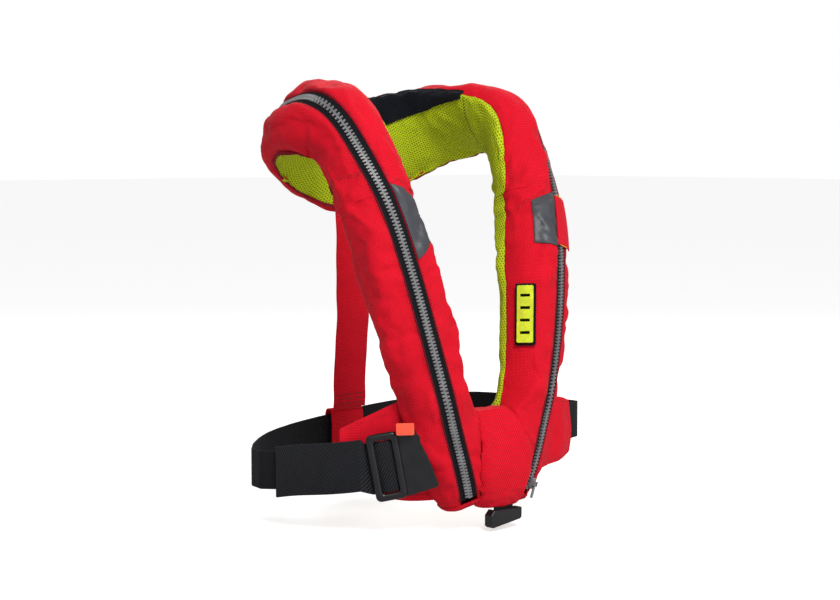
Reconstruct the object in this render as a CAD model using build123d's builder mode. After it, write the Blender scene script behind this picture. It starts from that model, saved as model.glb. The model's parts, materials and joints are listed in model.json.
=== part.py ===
from build123d import *
from math import asin, cos, degrees, radians, sin
import os

os.makedirs("parts", exist_ok=True)

# Inflatable life jacket, a closed-front "horse collar" worn over the head.
# +Z up, the wearer faces -Y, the wearer's left is +X, x = 0 is the wearer's middle.
# Z = 0 is the underside of the crotch-strap clip. All sizes are millimetres.

# ---------------------------------------------------------------- driving dimensions
# The padded loop runs from the toe of one lobe, up the chest, over the shoulder, to the nape.
# Each station of its left half: centre x, y, z, the way its outer face looks (turn round Z
# from straight ahead, then tilt upwards, in degrees), half width and half thickness.
LOOP = (
    (33, -103, 31, 20, -6, 26, 20),  # toe
    (40, -102, 56, 21, -3, 33, 26),  # foot
    (54, -100, 97, 20, 0, 33, 28),  # waist
    (70, -98, 150, 20, 3, 34, 29),  # belly
    (91, -83, 235, 20, 10, 40, 33),  # chest
    (106, -63, 316, 24, 19, 38, 33),  # collarbone
    (114, -30, 392, 50, 20, 38, 29),  # front of the shoulder
    (120, -3, 413, 82, 45, 44, 28),  # top of the shoulder
    (116, 38, 419, 126, 48, 50, 21),  # back of the shoulder
    (97, 88, 410, 154, 27, 51, 19),  # side of the nape
    (52, 114, 390, 170, 14, 56, 18),  # half way to the nape
    (0, 120, 378, 180, 5, 61, 16),  # nape
)
NAPE = len(LOOP) - 1
ROUNDNESS = 2.4  # exponent of the padded section: 2 is an ellipse, more is squarer
SEAM = 5.08  # station of the seam between lobe and collar
SEAM_GAP = 0.02
NAPE_LOW = 7.0  # station past which the collar counts as the nape

COVER = 2.0  # cover cloth with its padding
GAP = 0.3  # air between sewn neighbours
LINING_EDGE = 112.0  # where the lining starts, degrees round the section, inboard side
LINING_BACK = 230.0  # where it ends, on the outboard side
PAD_INSET = 4.2  # folded bladder inside the cover
EDGE_AIR = 0.8  # degrees of air between two cloths round the section
PIPING_SPAN, PIPING_LIFT = 10.0, 1.2  # degrees round the section, height over the cloth
FLEECE_BEFORE, FLEECE_AFTER = 14, 24  # degrees either side of the lining's edge
FLEECE_OUT, FLEECE_IN = -2.6, -0.9
PATCH_OUT, PATCH_IN = -1.6, -0.9

TEETH_WIDTH, TEETH_HEIGHT = 6.4, 2.4
TAPE_WIDTH, TAPE_THICK = 5.2, 0.8
TEETH_SINK, TAPE_SINK = 0.6, 1.2  # how far they lie below the section's face
TAPE_FREE = 9.0  # zip middle to cover edge

BELT_WIDTH, WEB_THICK = 40.0, 2.0
ADJUSTER_WIDTH = 50.0
STRAP_WIDTH = 46.0

FRAME_WIDTH, FRAME_HEIGHT, FRAME_THICK = 32.0, 68.0, 5.0
FRAME_BAR, FRAME_CORNER, FRAME_FILLET = 7.0, 4, 1

CYLINDER_DIA, NECK_DIA = 32.0, 12.0
THREAD_PLAY = 0.05
HARDWARE_OUT = 8.5  # inflator and oral tube sit this far outwards of the section centre


# ---------------------------------------------------------------- the loop's own geometry
def row(i):
    """Station i, mirrored past the nape and carried on straight past the toe."""
    if i < 0:
        return tuple(2 * a - b for a, b in zip(LOOP[0], LOOP[1]))
    if i > NAPE:
        x, y, z, turn, tilt, half_w, half_t = LOOP[2 * NAPE - i]
        return (-x, y, z, 360 - turn, tilt, half_w, half_t)
    return LOOP[i]


def station(t):
    """Smooth (Catmull-Rom) values at station number t."""
    i = min(int(t), NAPE - 1)
    f = t - i
    values = []
    for p0, p1, p2, p3 in zip(row(i - 1), row(i), row(i + 1), row(i + 2)):
        bend = (2 * p0 - 5 * p1 + 4 * p2 - p3) * f * f
        twist = (3 * p1 - p0 - 3 * p2 + p3) * f**3
        values.append(0.5 * (2 * p1 + (p2 - p0) * f + bend + twist))
    return values


def section(t, side):
    """The section plane (x inboard, y outwards, z along the loop), half width, half thickness.
    side is 1 on the wearer's left and -1 on the right."""
    x, y, z, turn, tilt, half_w, half_t = station(t)
    step = 0.001
    ahead = station(min(t + step, NAPE))
    behind = station(max(t - step, 0))
    along = Vector(*(a - b for a, b in zip(ahead[:3], behind[:3]))).normalized()
    turn, tilt = radians(turn), radians(tilt)
    out = Vector(sin(turn) * cos(tilt), -cos(turn) * cos(tilt), sin(tilt))
    out = (out - along * out.dot(along)).normalized()
    inboard = out.cross(along)
    if side < 0:
        along = Vector(along.X, -along.Y, -along.Z)
        inboard = Vector(-inboard.X, inboard.Y, inboard.Z)
    plane = Plane(origin=(side * x, y, z), x_dir=inboard, z_dir=along)
    return plane, half_w, half_t


def on_section(angle, half_w, half_t, inset):
    """Point of the section's outline: angle in degrees from the outer face, inboard positive."""
    s, c = sin(radians(angle)), cos(radians(angle))
    power = 2 / ROUNDNESS
    u = (half_w - inset) * abs(s) ** power
    v = (half_t - inset) * abs(c) ** power
    return (u if s > 0 else -u, v if c > 0 else -v)


def surface_point(t, side, angle, inset=0.0):
    plane, half_w, half_t = section(t, side)
    return plane.from_local_coords((*on_section(angle, half_w, half_t, inset), 0))


def edge_angle(offset, half_w):
    """The angle at which the outline is this far across from the zip's middle."""
    return degrees(asin((offset / half_w) ** (ROUNDNESS / 2)))


def steps(start, stop, count):
    return [start + (stop - start) * i / (count - 1) for i in range(count)]


def lobe_stations(side, start=0.0, stop=SEAM - SEAM_GAP, count=8):
    return [(t, side) for t in steps(start, stop, count)]


def collar_stations(start=SEAM + SEAM_GAP, count=9):
    left = [(t, 1) for t in steps(start, NAPE, count)]
    right = [(t, -1) for _, (t, _) in zip(range(count - 1), reversed(left[:-1]))]
    return left + right


# The same stations serve every strip, so that neighbours meet along their whole length.
WHOLE_LOOP = (
    lobe_stations(1)[1:] + collar_stations() + list(reversed(lobe_stations(-1)[1:]))
)

NAPE_LOOP = [(t, side) for t, side in collar_stations() if t > NAPE_LOW]


def cloth_strip(stations, start, stop, outer=0.0, inner=COVER, points=5):
    """A strip of cloth over the padded section. start and stop are angles, or functions of
    the half width; outer and inner are the insets of its two faces."""
    with BuildPart() as strip:
        for t, side in stations:
            plane, half_w, half_t = section(t, side)
            first = start(half_w) if callable(start) else start
            last = stop(half_w) if callable(stop) else stop
            angles = steps(first, last, points)
            face_out = [on_section(a, half_w, half_t, outer) for a in angles]
            face_in = [on_section(a, half_w, half_t, inner) for a in reversed(angles)]
            with BuildSketch(plane):
                with BuildLine():
                    Polyline(*face_out, *face_in, close=True)
                make_face()
        loft(ruled=True)
    return strip.part


def padded_core(stations, inset, points=12):
    """The full padded section, lofted along the loop."""
    with BuildPart() as core:
        for t, side in stations:
            plane, half_w, half_t = section(t, side)
            outline = [
                on_section(360 * (i + 0.5) / points, half_w, half_t, inset) for i in range(points)
            ]
            with BuildSketch(plane):
                with BuildLine():
                    Polyline(*outline, close=True)
                make_face()
        loft(ruled=True)
    return core.part


def raised_strip(stations, across, width, height, lift):
    """A flat rectangular strip lying along the zip line of the loop."""
    with BuildPart() as strip:
        for t, side in stations:
            plane, half_w, half_t = section(t, side)
            with BuildSketch(plane):
                with Locations((across, half_t + lift + height / 2)):
                    Rectangle(width, height)
        loft(ruled=True)
    return strip.part


def band(stations, thickness):
    """A strap lofted through (x, y, z, height) stations, standing on edge."""
    path = [Vector(x, y, z) for x, y, z, _ in stations]
    with BuildPart() as strap:
        for i, (x, y, z, height) in enumerate(stations):
            after, before = path[min(i + 1, len(path) - 1)], path[max(i - 1, 0)]
            run = after - before
            heading = Vector(run.X, run.Y, 0).normalized()
            with BuildSketch(Plane(origin=(x, y, z), x_dir=(0, 0, 1), z_dir=heading)):
                Rectangle(height, thickness)
        loft(ruled=True)
    return strap.part


def smooth_band(points, height, thickness, count):
    """A strap of one height lofted along a spline through the points."""
    with BuildLine() as guide:
        Spline(*points)
    spots = [guide.line @ (i / (count - 1)) for i in range(count)]
    return band([(p.X, p.Y, p.Z, height) for p in spots], thickness)


def keep(part, name):
    part.label = name
    export_step(part, f"parts/{name}.step")


def tape_edge(half_w):
    return edge_angle(TAPE_FREE, half_w)


def minus_tape_edge(half_w):
    return -edge_angle(TAPE_FREE, half_w)


# ---------------------------------------------------------------- cover, lining, bladder
SIDES = (("left", 1), ("right", -1))
OUTER_BACK = LINING_BACK - 360 + EDGE_AIR
INNER_BACK = LINING_EDGE - EDGE_AIR

# The pull cord leaves the right lobe through an eyelet on its outboard side.
CORD_RADIUS, EYELET_RADIUS, EYELET_DEPTH = 1.2, 2.6, 20
CORD_T, CORD_REACH = 2.5, 6
cord_section, cord_half, _ = section(CORD_T, -1)
cord_inner = cord_section.from_local_coords((CORD_REACH - cord_half, 6, 0))
cord_outer = cord_section.from_local_coords((-CORD_REACH - cord_half, 1, 1))
cord_line = Plane(origin=cord_inner, z_dir=cord_outer - cord_inner)
with BuildPart() as cord_hole:
    with BuildSketch(cord_line):
        Circle(EYELET_RADIUS)
    extrude(amount=EYELET_DEPTH)

for word, side in SIDES:
    with BuildPart() as outer_cover:
        add(cloth_strip(lobe_stations(side), minus_tape_edge, OUTER_BACK))
        if side < 0:
            add(cord_hole.part, mode=Mode.SUBTRACT)
    keep(outer_cover.part, f"{word}_lobe_outer_cover")
    keep(cloth_strip(lobe_stations(side), tape_edge, INNER_BACK), f"{word}_lobe_inner_cover")
    keep(cloth_strip(lobe_stations(side), LINING_EDGE, LINING_BACK), f"{word}_lobe_lining")

keep(cloth_strip(collar_stations(), minus_tape_edge, OUTER_BACK), "collar_outer_cover")
keep(cloth_strip(collar_stations(), tape_edge, INNER_BACK), "collar_inner_cover")
keep(cloth_strip(collar_stations(), LINING_EDGE, LINING_BACK - PIPING_SPAN), "collar_lining")
keep(
    cloth_strip(
        collar_stations(), LINING_BACK - PIPING_SPAN + EDGE_AIR, LINING_BACK - EDGE_AIR, -PIPING_LIFT
    ),
    "collar_piping",
)
keep(
    cloth_strip(
        NAPE_LOOP, LINING_EDGE - FLEECE_BEFORE, LINING_EDGE + FLEECE_AFTER, FLEECE_OUT, FLEECE_IN
    ),
    "neck_fleece",
)

# A straight pocket in each lobe leaves room for the inflation hardware.
POCKET_START, POCKET_STOP = 1.55, 4.25
POCKET_WIDTH, POCKET_DEEP, POCKET_OUT = 49, 44, 13
with BuildPart() as folded_bladder:
    add(padded_core(WHOLE_LOOP, PAD_INSET))
    for word, side in SIDES:
        low, _, _ = section(POCKET_START, side)
        high, _, _ = section(POCKET_STOP, side)
        run = high.origin - low.origin
        middle = (high.origin + low.origin) / 2
        axis_dir = Vector(run.X, run.Y, run.Z) * side
        across = low.x_dir - axis_dir * (low.x_dir.dot(axis_dir) / axis_dir.dot(axis_dir))
        pocket = Plane(origin=middle, x_dir=across, z_dir=axis_dir)
        with BuildSketch(pocket):
            with Locations((0, POCKET_OUT)):
                Rectangle(POCKET_WIDTH, POCKET_DEEP)
        extrude(amount=run.length / 2, both=True, mode=Mode.SUBTRACT)
    add(cord_hole.part, mode=Mode.SUBTRACT)
keep(folded_bladder.part, "folded_bladder")

# ---------------------------------------------------------------- zip
keep(raised_strip(WHOLE_LOOP, 0, TEETH_WIDTH, TEETH_HEIGHT, -TEETH_SINK), "zip_teeth")
tape_middle = TEETH_WIDTH / 2 + GAP + TAPE_WIDTH / 2
keep(raised_strip(WHOLE_LOOP, tape_middle, TAPE_WIDTH, TAPE_THICK, -TAPE_SINK), "inner_zip_tape")
keep(raised_strip(WHOLE_LOOP, -tape_middle, TAPE_WIDTH, TAPE_THICK, -TAPE_SINK), "outer_zip_tape")

# ---------------------------------------------------------------- what is sewn to the loop
BURST_LOW, BURST_HIGH = 4.55, 5.0
PATCH_LOW, LEFT_PATCH_HIGH, RIGHT_PATCH_HIGH = 4.5, 5.0, 5.05
LEFT_PATCH_ANGLES, RIGHT_PATCH_ANGLES = (24, 62), (17, 42)


def patch(side, high, angles):
    """A reflective patch between two angles round the section."""
    ends = [(PATCH_LOW, side), (high, side)]
    return cloth_strip(ends, *angles, PATCH_OUT, PATCH_IN, points=6)


keep(patch(1, LEFT_PATCH_HIGH, LEFT_PATCH_ANGLES), "left_reflective_patch")
keep(patch(-1, RIGHT_PATCH_HIGH, RIGHT_PATCH_ANGLES), "right_reflective_patch")

# Hook-and-loop flap over the burst zip, sewn along its outboard edge.
FLAP_WIDTH, FLAP_THICK, FLAP_LIFT, FLAP_CORNER = 34.0, 1.6, 3.4, 3
flap_low, _, low_t = section(BURST_LOW, 1)
flap_high, _, high_t = section(BURST_HIGH, 1)
flap_foot = flap_low.from_local_coords((-FLAP_WIDTH / 2, low_t + FLAP_LIFT, 0))
flap_head = flap_high.from_local_coords((-FLAP_WIDTH / 2, high_t + FLAP_LIFT, 0))
flap_up = (flap_head - flap_foot).normalized()
flap_across = (flap_up * flap_low.x_dir.dot(flap_up) - flap_low.x_dir).normalized()
flap_length = (flap_head - flap_foot).length
with BuildPart() as burst_flap:
    with BuildSketch(Plane(origin=flap_foot, x_dir=flap_across, z_dir=flap_across.cross(flap_up))):
        with Locations((-FLAP_WIDTH / 2, flap_length / 2)):
            RectangleRounded(FLAP_WIDTH, flap_length, FLAP_CORNER)
    extrude(amount=FLAP_THICK)
keep(burst_flap.part, "burst_flap")

# Accessory ladder: a bar of four slots on a stiff backing, on the left lobe's inboard face.
LADDER_LOW, LADDER_T, LADDER_HIGH = 3.3, 3.62, 3.95
LADDER_ANGLE, LADDER_SPREAD, LADDER_LIFT = 74, 14, 1.8
LADDER_WIDTH, LADDER_HEIGHT, LADDER_THICK = 17.0, 60.0, 3.0
SLOT_WIDTH, SLOT_HEIGHT, SLOTS = 10.5, 3.2, 4
BACKING_MARGIN, BACKING_THICK = 5.0, 1.5
ladder_foot = surface_point(LADDER_LOW, 1, LADDER_ANGLE)
ladder_head = surface_point(LADDER_HIGH, 1, LADDER_ANGLE)
ladder_up = (ladder_head - ladder_foot).normalized()
ladder_near = surface_point(LADDER_T, 1, LADDER_ANGLE - LADDER_SPREAD)
ladder_far = surface_point(LADDER_T, 1, LADDER_ANGLE + LADDER_SPREAD)
ladder_side = ladder_far - ladder_near
ladder_across = (ladder_side - ladder_up * ladder_side.dot(ladder_up)).normalized()
ladder_out = ladder_up.cross(ladder_across)
ladder_middle = surface_point(LADDER_T, 1, LADDER_ANGLE) + ladder_out * LADDER_LIFT
ladder_back = Plane(origin=ladder_middle, x_dir=ladder_across, z_dir=ladder_out)
with BuildPart() as ladder_backing:
    with BuildSketch(ladder_back):
        RectangleRounded(LADDER_WIDTH + BACKING_MARGIN, LADDER_HEIGHT + BACKING_MARGIN, 2)
    extrude(amount=BACKING_THICK)
keep(ladder_backing.part, "ladder_backing")
with BuildPart() as accessory_ladder:
    with BuildSketch(ladder_back.offset(BACKING_THICK + GAP)):
        RectangleRounded(LADDER_WIDTH, LADDER_HEIGHT, 1.5)
        with GridLocations(0, LADDER_HEIGHT / (SLOTS + 0.6), 1, SLOTS):
            Rectangle(SLOT_WIDTH, SLOT_HEIGHT, mode=Mode.SUBTRACT)
    extrude(amount=LADDER_THICK)
keep(accessory_ladder.part, "accessory_ladder")

# Envelopes of the two lobes, used to trim the pieces sewn against them.
TRIM = -2.4
envelopes = [padded_core(lobe_stations(side), TRIM) for _, side in SIDES]

# Front panel: (z, middle x, middle y, half width, half thickness)
PANEL = (
    (20, 4, -116, 25, 11),
    (38, 2, -119, 36, 16),
    (64, 3, -119.8, 42, 18),
    (96, 3, -116, 40, 15),
    (121, -6, -110, 24, 11),
)
PANEL_CORNER = 0.92  # corner radius over half thickness
with BuildPart() as front_panel:
    for z, x, y, half_w, half_t in PANEL:
        with BuildSketch(Plane.XY.offset(z)):
            with Locations((x, y)):
                RectangleRounded(2 * half_w, 2 * half_t, PANEL_CORNER * half_t)
    loft()
    for envelope in envelopes:
        add(envelope, mode=Mode.SUBTRACT)
    chosen = front_panel.solids().sort_by(SortBy.VOLUME)[-1]
keep(Part() + chosen, "front_panel")

# Side wings of the cover, which carry the belt: (x, y, middle z, height)
RIGHT_WING = ((-58, -92, 82, 104), (-84, -74, 82, 104), (-112, -54, 79, 80), (-136, -35, 83, 40))
LEFT_WING = ((66, -102, 87, 86), (125, -89, 86, 70), (150, -81, 86, 57))
WING_THICK = 3.0
for word, path, envelope in (("right", RIGHT_WING, envelopes[1]), ("left", LEFT_WING, envelopes[0])):
    with BuildPart() as wing:
        add(band(path, WING_THICK))
        add(envelope, mode=Mode.SUBTRACT)
        chosen = wing.solids().sort_by(SortBy.VOLUME)[-1]
    keep(Part() + chosen, f"{word}_wing")

# ---------------------------------------------------------------- straps
STRAP_X = 7.0
NAPE_FOOT, STRAP_WAIST, STRAP_FOOT = 311.0, 200, 97.0
front_edge = ((113, NAPE_FOOT), (111, STRAP_WAIST), (119, STRAP_FOOT))
back_edge = [(y + WEB_THICK, z) for y, z in reversed(front_edge)]
with BuildPart() as back_strap:
    with BuildSketch(Plane.YZ.offset(STRAP_X)):
        with BuildLine():
            Polyline(*front_edge, *back_edge, close=True)
        make_face()
    extrude(amount=STRAP_WIDTH / 2, both=True)
keep(back_strap.part, "back_strap")

# Closed webbing loop at the strap's foot, round the belt.
LOOP_DEEP, LOOP_HIGH, LOOP_CORNER = 14.0, 52.0, 5
LOOP_MIDDLE = (128.0, STRAP_FOOT - GAP - LOOP_HIGH / 2)
with BuildPart() as belt_loop:
    with BuildSketch(Plane.YZ.offset(STRAP_X)):
        with Locations(LOOP_MIDDLE):
            RectangleRounded(LOOP_DEEP, LOOP_HIGH, LOOP_CORNER)
            offset(amount=-WEB_THICK, mode=Mode.SUBTRACT)
    extrude(amount=STRAP_WIDTH / 2, both=True)
keep(belt_loop.part, "belt_loop")

BELT_PATH = (
    (-145, -6, 60),
    (-158, 28, 56),
    (-169.5, 58, 55),
    (-144, 95, 58),
    (-95, 119, 63),
    (0, 131, 71),
    (100, 123, 79),
    (151, 101, 83),
    (167.2, 56, 86),
    (168.2, 0, 88),
    (168.1, -56, 89),
    (167, -82, 89),
    (153, -84, 89),
)
BELT_PIECES, ADJUSTER_PIECES = 30, 46
keep(smooth_band(BELT_PATH, BELT_WIDTH, WEB_THICK, BELT_PIECES), "waist_belt")

# The ribbed adjuster strap runs back from the buckle and doubles inwards at its end.
ADJUSTER_PATH = (
    (-131, -60, 69),
    (-150, -22, 63),
    (-166, 26, 56),
    (-166.5, 31, 55),
    (-162, 28, 56),
    (-152, -4, 65),
    (-145, -18, 69),
)
keep(smooth_band(ADJUSTER_PATH, ADJUSTER_WIDTH, WEB_THICK, ADJUSTER_PIECES), "adjuster_strap")

# ---------------------------------------------------------------- side buckle
# x runs inboard, away from the strap, y up the frame, z out of its face.
buckle_up = Vector(-0.13, 0.12, 0.98).normalized()
buckle_in = Vector(0.66, -0.75, 0)
buckle_x = (buckle_in - buckle_up * buckle_in.dot(buckle_up)).normalized()
HINGE_FOOT = (-98.5, -86.5, 71)
buckle = Plane(origin=HINGE_FOOT, x_dir=buckle_x, z_dir=buckle_x.cross(buckle_up))
with BuildPart() as buckle_frame:
    with BuildSketch(buckle):
        with Locations((-FRAME_WIDTH / 2, 0)):
            RectangleRounded(FRAME_WIDTH, FRAME_HEIGHT, FRAME_CORNER)
            Rectangle(FRAME_WIDTH - 2 * FRAME_BAR, FRAME_HEIGHT - 2 * FRAME_BAR, mode=Mode.SUBTRACT)
    extrude(amount=FRAME_THICK)
    straight = buckle_frame.edges().filter_by(GeomType.LINE)
    fillet(straight.group_by(Axis(buckle.origin, buckle.z_dir))[-1], FRAME_FILLET)
keep(buckle_frame.part, "buckle_frame")

PLATE_THICK = 3.0
PLATE_OUTLINE = ((3.5, 30), (20, 31), (32, -26), (3.5, -31))
with BuildPart() as hook_plate:
    with BuildSketch(buckle):
        with BuildLine():
            Polyline(*PLATE_OUTLINE, close=True)
        make_face()
    extrude(amount=PLATE_THICK)
    for envelope in envelopes:
        add(envelope, mode=Mode.SUBTRACT)
    chosen = hook_plate.solids().sort_by(SortBy.VOLUME)[-1]
keep(Part() + chosen, "hook_plate")

# ---------------------------------------------------------------- crotch strap clip
CLIP_HEIGHT, CLIP_THICK = 18.0, 9.0
CLIP_X, CLIP_Y = 5.0, -126.0
BAR_Z, BAR_RADIUS, CLIP_SLOT = 14.0, 2.0, 30.0
CLIP_OUTLINE = ((-22, 2), (-19, 0), (20, 5), (22, 7), (22, CLIP_HEIGHT - 1), (-17, CLIP_HEIGHT), (-22, 13))
clip_plane = Plane(origin=(CLIP_X, CLIP_Y, 0), x_dir=(1, 0, 0), z_dir=(0, -1, 0))
bar_plane = Plane(origin=(CLIP_X, CLIP_Y, BAR_Z), x_dir=(0, 1, 0), z_dir=(1, 0, 0))
with BuildPart() as crotch_clip:
    with BuildSketch(clip_plane):
        with BuildLine():
            Polyline(*CLIP_OUTLINE, close=True)
        make_face()
    extrude(amount=CLIP_THICK / 2, both=True)
    with BuildSketch(clip_plane):
        with Locations((0, BAR_Z)):
            Rectangle(CLIP_SLOT, 2 * (CLIP_HEIGHT - BAR_Z) + 1)
    extrude(amount=CLIP_THICK, both=True, mode=Mode.SUBTRACT)
    with BuildSketch(bar_plane):
        Circle(BAR_RADIUS)
    extrude(amount=CLIP_SLOT / 2 + 1, both=True)
keep(crotch_clip.part, "crotch_clip")

# A sewn webbing eye holds the clip's bar.
WEB_EYE_WIDTH, WEB_EYE_GAP, WEB_EYE_WALL = 27.0, 0.4, 1.4
eye_inner = BAR_RADIUS + WEB_EYE_GAP
with BuildPart() as crotch_webbing:
    with BuildSketch(bar_plane):
        Circle(eye_inner + WEB_EYE_WALL)
        Circle(eye_inner, mode=Mode.SUBTRACT)
    extrude(amount=WEB_EYE_WIDTH / 2, both=True)
keep(crotch_webbing.part, "crotch_webbing")

# ---------------------------------------------------------------- inflator, right lobe
INFLATOR_T, HARDWARE_TOP = 2.25, 4.0
inflator_plane, _, _ = section(INFLATOR_T, -1)
cylinder_top, _, _ = section(HARDWARE_TOP, -1)
hardware_up = (cylinder_top.origin - inflator_plane.origin).normalized()
inflator_origin = inflator_plane.from_local_coords((0, HARDWARE_OUT, 0))
outboard = inflator_plane.x_dir * -1
outboard = (outboard - hardware_up * outboard.dot(hardware_up)).normalized()
inflator = Plane(origin=inflator_origin, x_dir=outboard, z_dir=hardware_up)
side_plane = Plane(origin=inflator_origin, x_dir=outboard, z_dir=outboard.cross(hardware_up))
BODY_WIDTH, BODY_DEEP, BODY_HIGH, BODY_CORNER = 31.0, 25.0, 36.0, 5
BODY_FOOT = -BODY_HIGH / 2
NECK_SEAT, NECK_START, NECK_END = 6.0, 9.0, 24.0
CAP_RADIUS, KNOB_RADIUS, CAP_SEAT = 8.0, 12.0, -9.0
LEVER_SLOT = (16, 0, 16, 40)  # middle outboard, middle up, width, height
LEVER_SLOT_HALF = 2.6
with BuildPart() as inflator_body:
    with BuildSketch(inflator.offset(BODY_FOOT)):
        RectangleRounded(BODY_WIDTH, BODY_DEEP, BODY_CORNER)
    extrude(amount=BODY_HIGH)
    with BuildSketch(inflator.offset(NECK_SEAT)):
        Circle(NECK_DIA / 2 + THREAD_PLAY)
    extrude(amount=BODY_HIGH, mode=Mode.SUBTRACT)
    with BuildSketch(inflator.offset(CAP_SEAT)):
        Circle(CAP_RADIUS + THREAD_PLAY)
    extrude(amount=-BODY_HIGH, mode=Mode.SUBTRACT)
    with BuildSketch(side_plane):
        with Locations(LEVER_SLOT[:2]):
            Rectangle(*LEVER_SLOT[2:])
    extrude(amount=LEVER_SLOT_HALF, both=True, mode=Mode.SUBTRACT)
keep(inflator_body.part, "inflator_body")

SEAL_HEIGHT, SEAL_BORE = 2.4, 3.0
with BuildPart() as cylinder_seal:
    with BuildSketch(inflator.offset(NECK_SEAT + 0.2)):
        Circle(NECK_DIA / 2 - 0.4)
        Circle(SEAL_BORE, mode=Mode.SUBTRACT)
    extrude(amount=SEAL_HEIGHT)
keep(cylinder_seal.part, "cylinder_seal")

CYLINDER_LENGTH = 112.0
SHOULDER, DOME = 3.0, 5.0
end = NECK_END + CYLINDER_LENGTH
radius = CYLINDER_DIA / 2
CYLINDER_OUTLINE = (
    (0, NECK_START),
    (NECK_DIA / 2, NECK_START),
    (NECK_DIA / 2, NECK_END),
    (radius - SHOULDER, NECK_END + 9),
    (radius, NECK_END + 16),
    (radius, end - 8),
    (radius - DOME, end),
    (0, end),
)
with BuildPart() as co2_cylinder:
    with BuildSketch(side_plane):
        with BuildLine():
            Polyline(*CYLINDER_OUTLINE, close=True)
        make_face()
    revolve(axis=Axis(inflator_origin, hardware_up))
keep(co2_cylinder.part, "co2_cylinder")

CAP_FOOT, KNOB_FOOT, CAP_HIGH = -19.0, -28.0, 9.5
with BuildPart() as cartridge_cap:
    with BuildSketch(inflator.offset(CAP_FOOT)):
        Circle(CAP_RADIUS)
    extrude(amount=CAP_HIGH)
    with BuildSketch(inflator.offset(KNOB_FOOT)):
        Circle(KNOB_RADIUS)
    extrude(amount=CAP_HIGH)
keep(cartridge_cap.part, "cartridge_cap")

LEVER_PIVOT = (13, 0, -4)  # outboard, forwards, up from the inflator's middle
LEVER_HUB, LEVER_ARM, LEVER_ANGLE, LEVER_HALF = 3.2, (9, 5), 35, 2.0
lever_plane = Plane(
    origin=inflator.from_local_coords(LEVER_PIVOT), x_dir=outboard, z_dir=outboard.cross(hardware_up)
)
with BuildPart() as firing_lever:
    with BuildSketch(lever_plane):
        Circle(LEVER_HUB)
        with Locations((LEVER_ARM[0] / 2, 3)):
            Rectangle(*LEVER_ARM, rotation=LEVER_ANGLE)
    extrude(amount=LEVER_HALF, both=True)
keep(firing_lever.part, "firing_lever")

MANIFOLD_BACK, MANIFOLD_RADIUS, MANIFOLD_THICK = -13.6, 12, 1.2
manifold_plane = Plane(
    origin=inflator.from_local_coords((0, MANIFOLD_BACK, 0)), z_dir=inflator.y_dir * -1
)
with BuildPart() as bladder_manifold:
    with BuildSketch(manifold_plane):
        Circle(MANIFOLD_RADIUS)
    extrude(amount=MANIFOLD_THICK)
keep(bladder_manifold.part, "bladder_manifold")

# ---------------------------------------------------------------- manual pull tab
TAB_WIDTH, TAB_HEIGHT, TAB_THICK, TAB_CORNER = 18.0, 12.0, 2.5, 1.5
tab_middle = cord_outer + Vector(-6, -7, -2)
tab_out = Vector(-0.55, -0.8, 0.25).normalized()
tab_across = Vector(-0.8, 0.55, 0).normalized()
with BuildPart() as pull_tab:
    with BuildSketch(Plane(origin=tab_middle, x_dir=tab_across, z_dir=tab_out)):
        RectangleRounded(TAB_WIDTH, TAB_HEIGHT, TAB_CORNER)
    extrude(amount=TAB_THICK)
keep(pull_tab.part, "pull_tab")
with BuildPart() as pull_cord:
    with BuildSketch(cord_line):
        Circle(CORD_RADIUS)
    extrude(amount=(cord_outer - cord_inner).length)
keep(pull_cord.part, "pull_cord")

# ---------------------------------------------------------------- oral tube, left lobe
TUBE_T, TUBE_ACROSS = 2.3, 8
tube_plane, _, _ = section(TUBE_T, 1)
tube_end, _, _ = section(HARDWARE_TOP, 1)
tube_up = (tube_end.origin - tube_plane.origin).normalized()
tube_origin = tube_plane.from_local_coords((TUBE_ACROSS, HARDWARE_OUT, 0))
tube = Plane(origin=tube_origin, z_dir=tube_up)
TUBE_OD, TUBE_ID, TUBE_LENGTH = 13.0, 10.0, 80.0
FLANGE_RADIUS, FLANGE_THICK = 14, 1.5
SEAT_DEPTH, SEAT_BORE, SEAT_THICK = 20, 2, 3
with BuildPart() as oral_tube:
    with BuildSketch(tube):
        Circle(TUBE_OD / 2)
    extrude(amount=TUBE_LENGTH)
    with BuildSketch(tube.offset(-FLANGE_THICK)):
        Circle(FLANGE_RADIUS)
    extrude(amount=FLANGE_THICK)
    with BuildSketch(tube):
        Circle(TUBE_ID / 2)
    extrude(amount=TUBE_LENGTH, mode=Mode.SUBTRACT)
    with BuildSketch(tube.offset(TUBE_LENGTH - SEAT_DEPTH)):
        Circle(TUBE_OD / 2)
        Circle(SEAT_BORE, mode=Mode.SUBTRACT)
    extrude(amount=SEAT_THICK)
keep(oral_tube.part, "oral_tube")

POPPET_DEPTH, POPPET_THICK = 8, 5
with BuildPart() as oral_valve_poppet:
    with BuildSketch(tube.offset(TUBE_LENGTH - POPPET_DEPTH)):
        Circle(TUBE_ID / 2 - THREAD_PLAY)
    extrude(amount=POPPET_THICK)
keep(oral_valve_poppet.part, "oral_valve_poppet")

DUST_CAP_DEPTH, DUST_CAP_WALL, DUST_CAP_TOP = 12, 1.6, 2.0
with BuildPart() as oral_dust_cap:
    with BuildSketch(tube.offset(TUBE_LENGTH - DUST_CAP_DEPTH)):
        Circle(TUBE_OD / 2 + DUST_CAP_WALL)
    extrude(amount=DUST_CAP_DEPTH + DUST_CAP_TOP)
    with BuildSketch(tube.offset(TUBE_LENGTH - DUST_CAP_DEPTH)):
        Circle(TUBE_OD / 2 + THREAD_PLAY)
    extrude(amount=DUST_CAP_DEPTH + 0.2, mode=Mode.SUBTRACT)
keep(oral_dust_cap.part, "oral_dust_cap")

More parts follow.
